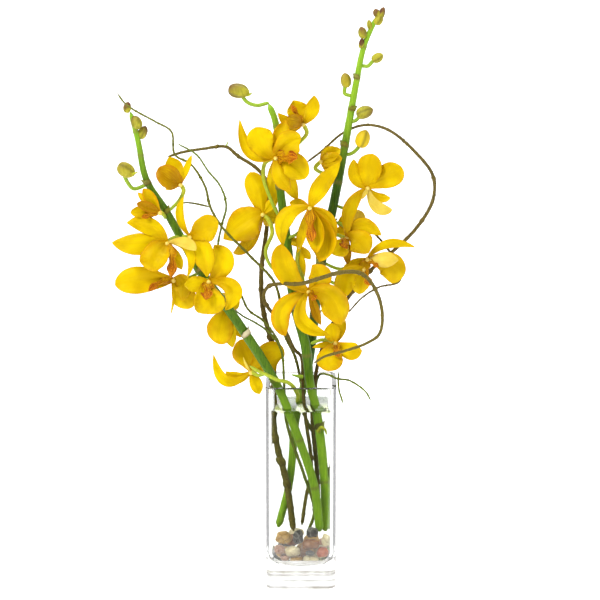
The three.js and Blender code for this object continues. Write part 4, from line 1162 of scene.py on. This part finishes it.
# %% Closed buds
def bud_material():
    material, net, surface = new_material("closed_bud", 0.5, SHEEN)
    fibre = net.streaks((500, 500, 120))
    patch = net.band(net.noise(140, 3.0), 0.4, 0.65)
    # darker blotches and lighter fibre streaks in the bud's shaded and lit tones, scattered at
    # random: part blotch and fibre colour, part painted shade and painted highlight
    color = net.mix(patch, "A29C22", "84821E")
    color = net.mix(net.band(fibre, 0.35, 0.7, 0.0, 0.5), color, "BEB63E")
    color = net.mix(net.value("ripe"), color, net.mix(fibre, "D8B404", "E8CC1C"))
    brown = net.mix(patch, "59321C", "7E5A2A")
    color = net.mix(net.value("brown"), color, brown)
    color = net.mix(net.times(net.value("seam"), 0.6), color, "5F5A1C")
    net.dress(surface, color, net.band(fibre, 0.2, 0.8, 0.42, 0.6), net.bump(fibre, 0.25, 0.0005))
    return material


closed_bud = bud_material()
print("bud skin ready")

# %% [markdown]
# A bud is drawn standing, in rings from its stalk to its beak, then leaned and put in place.
# Its cap is brown: the tip's end for a positive `brown`, and the stalk's end for a negative.

# %% Bud shapes
BUD_ROWS, BUD_TURNS, BEAK_FROM, BUD_FILLS = 34, 48, 0.86, 0.97


def bud_shape(at, size, lean, brown, seed, ripe=0.0):
    """An egg standing on -Z, beaked at +Z, then leaned over towards +X."""
    points, browns, seams = [], [], []
    for row in range(BUD_ROWS + 1):
        rise = row / BUD_ROWS
        angle = math.pi * rise
        radius = math.sin(angle) ** 0.85 * (1 - 0.2 * rise)
        for step in range(BUD_TURNS):
            turn = 2 * math.pi * step / BUD_TURNS
            seam = abs(math.cos(1.5 * turn + seed)) ** 14
            puff = 1 - 0.13 * seam + 0.03 * math.sin(3 * turn + 5 * rise + seed)
            beak = max(0.0, rise - BEAK_FROM) / 0.14
            points.append((radius * puff * math.cos(turn), radius * puff * math.sin(turn),
                           -math.cos(angle) * (1 - 0.08 * (1 - beak) * (rise > 0.5))))
            cap = rise if brown > 0 else 1 - rise
            cap += 0.12 * math.sin(2 * turn + seed)
            browns.append(min(1, max(0, abs(brown) * (0.25 + 2.4 * (cap - 0.45)))))
            seams.append(seam)
    points = np.array(points) * np.array(size) * BUD_FILLS
    c, s = math.cos(math.radians(lean)), math.sin(math.radians(lean))
    points = points @ np.array([[c, 0, -s], [0, 1, 0], [s, 0, c]]) + np.array(at)
    return points, tube_faces(BUD_ROWS, BUD_TURNS), browns, seams, [ripe] * len(points)


WELD = 0.00002


def join_shapes(shapes):
    """Several (points, faces, values...) as one. `weld` merges their doubled points later."""
    points, faces, rows = [], [], [[] for _ in shapes[0][2:]]
    for shape in shapes:
        start = len(points)
        points.extend(np.asarray(shape[0]).tolist())
        faces.extend(tuple(start + k for k in face) for face in shape[1])
        for row, numbers in zip(rows, shape[2:]):
            row.extend(numbers)
    return np.array(points), faces, rows


def weld(mesh):
    work = bmesh.new()
    work.from_mesh(mesh)
    bmesh.ops.remove_doubles(work, verts=work.verts, dist=WELD)
    bmesh.ops.recalc_face_normals(work, faces=work.faces)
    work.to_mesh(mesh)
    work.free()
    return mesh


def bud_piece(name, shapes, nodes):
    points, faces, rows = join_shapes(shapes)
    mesh = weld(make_mesh(name, points, faces, dict(zip(("brown", "seam", "ripe"), rows))))
    show(name, mesh, closed_bud, nodes)


print("a bud has", BUD_ROWS * BUD_TURNS, "faces")

# %% [markdown]
# Six buds stand on stalks of their own. Each stalk starts on the nearest stem. The left and
# right stems end in clusters of small tight buds.

# %% Buds in place
BROWN = {"bud_left_low": -0.3, "bud_middle_tip": -0.75, "bud_right_lowest": 0.3,
         "bud_right_lower": 0.55, "bud_right_upper": 0.4, "bud_right_top": 0.05}
RIPE = {"bud_right_lowest": 0.85, "bud_right_upper": 0.25, "bud_left_low": 0.1}
TIP_BUDS = {  # how brown and how far leaned each bud of a stem's tip is
    "stem_left": ((1.6, 10), (0.6, -20), (0.9, 25)),
    "stem_right": ((1.8, -25), (2.0, 20), (0.35, 30), (0.2, -10), (0.8, -15), (2.2, 10)),
}
STALK_POINTS, BUD_STALK_RADII = 40, (2.0, 2.1)
stem_spots = np.concatenate([route for route, _ in stem_lines.values()])
for number, (name, (at, size, lean, stalk)) in enumerate(BUDS.items()):
    egg = bud_shape(at, size, lean, BROWN[name], number, RIPE.get(name, 0.0))
    bud_piece(name + "_egg", [egg], [name])
    on_stem = stem_spots[np.argmin(np.linalg.norm(stem_spots - stalk[0], axis=1))]
    route = smooth_route([on_stem, *stalk, at], STALK_POINTS)
    radii = rounded_ends(np.linspace(*BUD_STALK_RADII, STALK_POINTS))
    grow(name + "_stalk", [(route, radii, {"fresh": 0.8})],
         flower_stalk, "closed_bud", [name], ("fresh",), Sides=16, Rough=0.0003)
for name, tips in TIP_BUDS.items():
    shapes = [bud_shape(at, size, lean, brown, k) for k, ((at, size), (brown, lean))
              in enumerate(zip(STEMS[name]["buds"], tips))]
    bud_piece(name + "_tip_buds", shapes, [name])
print(len(BUDS), "buds on stalks")

# %% [markdown]
# ## Petals
# A petal is a thin closed blade. Its rib bends from the heart through a middle point to the
# tip. It widens and narrows along the rib, cups or rolls back across it, and waves near its
# edge. Every point knows how far along it is, how near the edge, and its petal's own tones.

# %% The petal blade
ALONG, ACROSS = 30, 16
THICK, LIP_THICKER = 0.55, 1.6
NECK = 0.16  # how wide a petal starts, as a share of its width
WAVE, LIP_WAVE = 0.07, 0.12
TWIST, TURN = 0.35, 6.28


def petal_width(u, blunt):
    power, shape = (1.5, 0.6) if blunt else (1.15, 0.8)
    belly = np.maximum(np.sin(np.pi * u ** power), 0) ** shape
    return NECK * (1 - u ** 6) + (1 - NECK) * belly


KINDS = {  # how orange its edge is, how brown and how pale
    "plain": (0.16, 0.0, 0.0),
    "orange": (0.75, 0.06, 0.0),
    "brown": (0.6, 0.7, 0.0),
    "amber": (0.42, 0.12, 0.0),
    "pale": (0.05, 0.0, 0.6),
    "lip": (1.0, 0.2, 0.0),
}


def blade_faces():
    """The upper skin, the lower skin and the rim between them."""
    count, layer = ACROSS + 1, (ALONG + 1) * (ACROSS + 1)
    faces = []
    for i in range(ALONG):
        for j in range(ACROSS):
            a = i * count + j
            top = (a, a + count, a + count + 1, a + 1)
            faces += [top[::-1], tuple(layer + k for k in top)]
    return faces + [(a, b, layer + b, layer + a) for a, b in border_edges(ALONG, ACROSS)]


BLADE_FACES = blade_faces()


def petal_shape(heart, petal, seed):
    kind, tip, via, wide, cup, blunt = petal
    rng = np.random.default_rng(seed)
    start = np.array(heart, float)
    end = start + np.array(tip)
    handle = 2 * (start + np.array(via)) - (start + end) / 2
    u = np.linspace(0, 1, ALONG + 1)[:, None]
    rib = (1 - u) ** 2 * start + 2 * u * (1 - u) * handle + u ** 2 * end
    tangent = unit(2 * (1 - u) * (handle - start) + 2 * u * (end - handle))
    side = unit(np.cross(np.broadcast_to(FRONT, tangent.shape), tangent))
    up = unit(np.cross(tangent, side))
    twist = rng.uniform(-TWIST, TWIST) * u
    side, up = side * np.cos(twist) + up * np.sin(twist), up * np.cos(twist) - side * np.sin(twist)
    w = np.linspace(-0.5, 0.5, ACROSS + 1)[None, :]
    spread = wide * petal_width(u, blunt)
    reach = np.linalg.norm(end - start)
    is_lip = kind == "lip"
    if is_lip:
        spread = wide * (0.42 + 0.6 * np.exp(-((u - 0.3) / 0.16) ** 2)
                         + 0.62 * np.exp(-((u - 0.8) / 0.17) ** 2))
        spread = spread * np.sqrt(np.clip(1.02 - u ** 8, 0, 1))
    phase = rng.uniform(0, TURN, 4)
    beats = rng.uniform(1.2, 2.2)
    edge = np.abs(2 * w)
    wave = np.sin(beats * TURN * u + phase[0] + 1.5 * np.sign(w)) * edge ** 2.2
    wave = wave + 0.35 * np.sin(3.1 * beats * TURN * u + phase[1] + np.sign(w)) * edge ** 4
    ruffle = (LIP_WAVE if is_lip else WAVE) * wide * wave * np.sin(np.pi * u) ** 0.4
    crease = -0.035 * wide * np.exp(-(w / 0.07) ** 2) * np.sin(np.pi * u) ** 0.5
    curl = rng.uniform(-0.06, 0.03) * reach * np.clip((u - 0.75) / 0.25, 0, 1) ** 2
    veins = 0.03 * np.cos(2 * np.pi * w * 9) * np.sin(np.pi * u)
    fold = 0.05 * wide * np.sin(2.6 * np.pi * w + phase[3]) * np.sin(np.pi * u) ** 0.8
    lift = 4 * w * w * cup * spread * 0.5 + ruffle + crease + curl + veins + fold
    drift = 0.03 * wide * np.sin(4 * u + phase[2])
    half = 0.5 * THICK * (1 - 0.55 * edge ** 4) * (LIP_THICKER if is_lip else 1.0)
    middle = rib[:, None] + side[:, None] * ((w * spread + drift)[..., None])
    points = np.vstack([(middle + up[:, None] * (lift + sign * half)[..., None]).reshape(-1, 3)
                        for sign in (1, -1)])
    ones = np.ones((ALONG + 1, ACROSS + 1))
    tones = (*KINDS[kind], rng.uniform(0, 1), float(is_lip))
    values = [ones * u, ones * w + 0.5, *[ones * tone for tone in tones]]
    return (points, BLADE_FACES, *[np.tile(row.ravel(), 2) for row in values])


PETAL_VALUES = ("along", "across", "warm", "brown", "pale", "shade", "lip")
print("a petal has", len(BLADE_FACES), "faces")

# %% [markdown]
# ## Petal and throat colours
# Petals are satin yellow. Near the heart they deepen to ochre, a painted shade where the
# petals crowd together. They have fine lengthwise veins and a thin orange edge. The lip is
# orange with dark red stripes and spots.

# %% Petal material
SEE_THROUGH = 0.16


def petal_material():
    material, net, surface = new_material("petal", 0.5, 0.28)
    along, across = net.value("along"), net.value("across")
    blade = net.put("ShaderNodeCombineXYZ", {0: along, 1: across, 2: net.value("shade")})[0]
    vein = net.streaks((2.5, 42, 7), vector=blade)
    cloud = net.noise(45, 3.0)
    edge = net.math("ABSOLUTE", net.math("SUBTRACT", net.times(across, 2.0), 1.0), 0.0)
    rim = net.math("MAXIMUM", edge, net.band(along, 0.72, 1.0))
    yellow = net.mix(net.band(cloud, 0.35, 0.65), "CEAC00", "E2C600")
    color = net.mix(net.band(vein, 0.4, 0.75, 0.0, 0.22), yellow, "C99600")
    # painted shade: darker ochre towards the heart, where the petals crowd together
    color = net.mix(net.band(along, 0.45, 0.0, 0.0, 0.6), color, "BC8A00")
    patch = net.band(net.noise(60, 3.0, 0.6), 0.42, 0.6)
    flame = net.times(net.value("warm"), net.band(rim, 0.45, 1.0))
    flame = net.times(flame, net.math("ADD", net.times(patch, 0.5), 0.5))
    color = net.mix(net.times(flame, 0.8), color, "D88200")
    color = net.mix(net.times(net.band(edge, 0.95, 1.0), 0.5), color, "BC6400")
    brown = net.times(net.value("brown"), net.band(vein, 0.25, 0.6, 0.45, 1.0))
    color = net.mix(brown, color, "9A5804")
    pale = net.times(net.value("pale"), net.band(cloud, 0.3, 0.7, 0.4, 0.9))
    color = net.mix(pale, color, "EFE07E")
    stripe = net.band(net.streaks((3.0, 26, 9), 1.0, 0.5, blade), 0.47, 0.56)
    dots = net.band(net.cells(1.0, net.stretch(blade, (16, 12, 9))), 0.34, 0.22)
    lip_color = net.mix(net.band(along, 0.2, 0.9), "D2A004", "D08410")
    lip_color = net.mix(net.times(stripe, 0.8), lip_color, "8A2C04")
    lip_color = net.mix(net.times(dots, 0.8), lip_color, "4E1204")
    color = net.mix(net.value("lip"), color, lip_color)
    net.dress(surface, color, net.band(vein, 0.2, 0.8, 0.42, 0.58), net.bump(vein, 0.15, 0.0005))
    surface.inputs["Specular Tint"].default_value = linear("FFE27A")
    net.blend(SEE_THROUGH, surface, net.put("ShaderNodeBsdfTranslucent", {"Color": color}))
    return material


petal_finish = petal_material()
print("petal material ready")

# %% [markdown]
# The throat's column is yellow with dark dots, brown at its foot and pale at its cap.

# %% Throat material
def throat_material():
    material, net, surface = new_material("throat", 0.4)
    front = net.value("front")
    mottle = net.noise(220, 3.0)
    color = net.mix(net.band(mottle, 0.35, 0.65), "D2A602", "E6C20E")
    cap = net.mix(mottle, "DCC452", "E9DA84")
    color = net.mix(net.band(front, 0.62, 0.9, 0.0, 0.7), color, cap)
    dots = net.band(net.cells(420), 0.24, 0.14)
    color = net.mix(net.times(dots, 0.7), color, "6A2408")
    color = net.mix(net.band(front, 0.35, 0.0, 0.0, 0.6), color, "A75A06")
    net.dress(surface, color, net.band(mottle, 0.2, 0.8, 0.32, 0.5), net.bump(mottle, 0.2, 0.0004))
    return material


throat_finish = throat_material()
print("throat material ready")

# %% [markdown]
# ## Blooms
# A bloom gathers its petals round a short column that points to the viewer. The column
# droops a little, is hollowed underneath and ends in a small pale cap.

# %% Columns
COLUMN_SEED, COLUMN_RADIUS, COLUMN_LENGTH = 900, 2.3, 8.6


def column_shape(heart, seed):
    """A rod along -Y, waisted before the round cap at its end."""
    rng = np.random.default_rng(COLUMN_SEED + seed)
    rows, turns = 26, 24
    droop = rng.uniform(0.8, 2.2)
    points, front = [], []
    for row in range(rows + 1):
        t = row / rows
        angle = math.pi * t
        radius = COLUMN_RADIUS * math.sin(angle) ** 0.6 if 0 < row < rows else 0.02
        cap = math.exp(-((t - 0.75) / 0.1) ** 2)
        waist = math.exp(-((t - 0.58) / 0.08) ** 2)
        radius *= 1 + 0.2 * cap - 0.12 * waist
        y = 4.2 - COLUMN_LENGTH * (0.5 - 0.5 * math.cos(angle))
        for step in range(turns):
            turn = 2 * math.pi * step / turns
            groove = 0.28 * max(0, -math.sin(turn)) ** 3 * (t < 0.8)
            r = radius * (1 - groove)
            points.append((heart[0] + r * math.cos(turn),
                           heart[1] + y,
                           heart[2] + 0.95 * r * math.sin(turn) - droop * t * t * 0.8))
            front.append(t)
    return np.array(points), tube_faces(rows, turns), front


print("a column is", COLUMN_LENGTH, "mm long")

# %% [markdown]
# Every bloom is three pieces: its petals, its column and its stalk, which thickens towards
# the heart. The seed of a petal comes from its place in the list.

# %% Whole blooms
SEEDS_PER_BLOOM = 40
STALK_RADIUS, STALK_GAIN, STALK_SHARE = 1.7, 0.75, np.linspace(0, 1, 36)
petal_count = 0
for number, (name, (heart, stalk, *petals)) in enumerate(BLOOMS.items()):
    shapes = [petal_shape(heart, petal, SEEDS_PER_BLOOM * number + k)
              for k, petal in enumerate(petals)]
    points, faces, rows = join_shapes(shapes)
    uv = np.column_stack([rows[0], rows[1]])
    mesh = make_mesh(name, points, faces, dict(zip(PETAL_VALUES, rows)), uv)
    show(name + "_petals", weld(mesh), petal_finish, [name])
    points, faces, (front,) = join_shapes([column_shape(heart, number)])
    mesh = weld(make_mesh(name + "_column", points, faces, {"front": front}))
    show(name + "_column", mesh, throat_finish, [name])
    route = smooth_route([*stalk, heart], len(STALK_SHARE))
    radii = rounded_ends(STALK_RADIUS + STALK_GAIN * STALK_SHARE ** 1.5)
    grow(name + "_stalk", [(route, radii, {"fresh": np.linspace(0.8, 0.0, len(STALK_SHARE))})],
         flower_stalk, "yellow_petal", [name], ("fresh",), Sides=14, Rough=0.0003)
    petal_count += len(petals)
print(len(BLOOMS), "blooms with", petal_count, "petals")

# %% [markdown]
# ## Husks, spurs and a leaf
# Dry husks hug the stems at their joints, each a thin curved scale with a brown edge.

# %% Husk shapes
HUSK_WRAP = 1.9  # how far round the stem each half of a husk reaches, in radians


def husk_shape(route, radii, share, length, turn, pale):
    """A thin scale wrapped part of the way round a stem, pointed at its upper end."""
    rows, cols = 12, 14
    centre = int(share * (len(route) - 1))
    step = np.linalg.norm(route[1] - route[0])
    points, brown, faces = [], [], []
    for skin in (1, 0):
        for i in range(rows + 1):
            t = i / rows
            place = min(len(route) - 2, centre + int(round(t * length / step)))
            axis = unit(route[place + 1] - route[place])
            side = unit(np.cross(axis, FRONT))
            front = np.cross(side, axis)
            reach = radii[centre] + 0.35 + 1.5 * t ** 2 + 0.3 * skin
            for j in range(cols + 1):
                w = 2 * j / cols - 1
                angle = turn + w * HUSK_WRAP * math.sqrt(max(0.0, 1 - t ** 2.2))
                points.append(route[place] + reach * (math.sin(angle) * side
                                                      + math.cos(angle) * front))
                brown.append(0.25 + 0.75 * max(abs(w) ** 4, (1 - t) ** 4))
    count, layer = cols + 1, (rows + 1) * (cols + 1)
    for i in range(rows):
        for j in range(cols):
            a = i * count + j
            quad = (a, a + 1, a + count + 1, a + count)
            faces += [quad, tuple(layer + k for k in quad[::-1])]
    faces += [(b, a, layer + a, layer + b) for a, b in border_edges(rows, cols)]
    return np.array(points), faces, [pale] * len(points), brown


print("husks wrap", round(2 * math.degrees(HUSK_WRAP)), "degrees at their foot")

# %% [markdown]
# Husks are green-brown and fibrous. One on the left stem is dry and almost white.

# %% Husks in place
def husk_material():
    material, net, surface = new_material("husk", 0.6, SHEEN)
    fibre = net.streaks((900, 900, 120))
    color = net.mix(fibre, "7C8A22", "9AA33A")
    color = net.mix(net.value("pale"), color, net.mix(fibre, "D8CFA0", "EBE4C4"))
    color = net.mix(net.times(net.value("brown"), 0.8), color, "6A4E1C")
    net.dress(surface, color, net.band(fibre, 0.2, 0.8, 0.5, 0.7), net.bump(fibre, 0.3, 0.0005))
    return material


husk = husk_material()
HUSKS = {  # share of the stem, length, turn round it, how pale
    "stem_left": ((0.47, 7, 0.9, 1.0), (0.56, 7, -1.2, 0.2), (0.64, 6, 1.4, 0.1),
                  (0.71, 7, -0.9, 0.1), (0.78, 6, 1.3, 0.0), (0.85, 6, -1.0, 0.1)),
    "stem_middle": ((0.53, 13, 0.5, 0.2), (0.63, 8, -1.1, 0.0), (0.73, 8, 1.3, 0.0),
                    (0.81, 7, -1.3, 0.1), (0.25, 8, 0.8, 0.1)),
    "stem_right": ((0.42, 8, 1.2, 0.0), (0.52, 8, -1.2, 0.0), (0.6, 7, 1.2, 0.0),
                   (0.75, 6, -1.2, 0.0), (0.82, 6, 1.2, 0.0), (0.88, 6, -1.2, 0.1)),
}
for name, rows in HUSKS.items():
    route, radii = stem_lines[name]
    shapes = [husk_shape(route, radii, *row) for row in rows]
    points, faces, (tone, brown) = join_shapes(shapes)
    mesh = weld(make_mesh(name + "_husks", points, faces, {"pale": tone, "brown": brown}))
    show(name + "_husks", mesh, husk, [name])
print(sum(len(rows) for rows in HUSKS.values()), "husks")

# %% [markdown]
# ## Spurs, a bract and a leaf
# Two buds carry a small spur. A pale stalk curls over the rim, a bract curls in the vase, a
# leaf lies by the twigs, and a shoot sits on the main twig. Each is a short tapered stalk.

# %% Small pieces
EXTRAS = (  # name, route, first and last radius, freshness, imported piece
    ("curled_bract", ((18, -5, 167), (21, -8, 173), (25, -9, 171), (27, -8, 165)), 2.4, 0.8, 0.1,
     "stem_middle"),
    ("spur_left_low", ((-176, -51, 452), (-171, -52, 451), (-166, -52, 452.5)), 2.6, 0.4, 0.1,
     "bud_left_low"),
    ("spur_middle_tip", ((-60, -8, 527), (-54, -8, 526), (-50, -8, 528.5)), 2.8, 0.4, 0.1,
     "bud_middle_tip"),
    ("curling_stalk", ((-54, -30, 244), (-45, -33, 239), (-35, -35, 235), (-25, -35, 230),
                       (-14, -30, 226), (-7, -27, 219), (-3, -23, 209), (-5, -20, 202)),
     1.7, 2.4, 0.35, "bloom_left_rim"),
    ("leaf_stalk", ((2, -8, 226), (-4, -11, 228), (-10, -13, 230)), 2.6, 0.6, 0.8,
     "twig_inner"),
    ("shoot_trunk", ((-78, 6, 470), (-77, 6, 473), (-76, 5, 476)), 1.1, 0.4, 0.6,
     "twig_trunk"),
)
for name, places, first, last, fresh, node in EXTRAS:
    route = smooth_route(places, STALK_POINTS)
    radii = rounded_ends(np.linspace(first, last, STALK_POINTS), low=0.3)
    slot = "brown_twig" if node == "twig_trunk" else "closed_bud"
    grow(name, [(route, radii, {"fresh": fresh})], flower_stalk, slot, [node], ("fresh",),
         Sides=16, Rough=0.0003)
print(len(EXTRAS), "small pieces")

# %% [markdown]
# ## Last: the part's size
# The imported part's corners are printed, in millimetres.

# %% Measure and finish
print("CAD   ", [round(1000 * c, 1) for c in (*part_low, *part_high)])
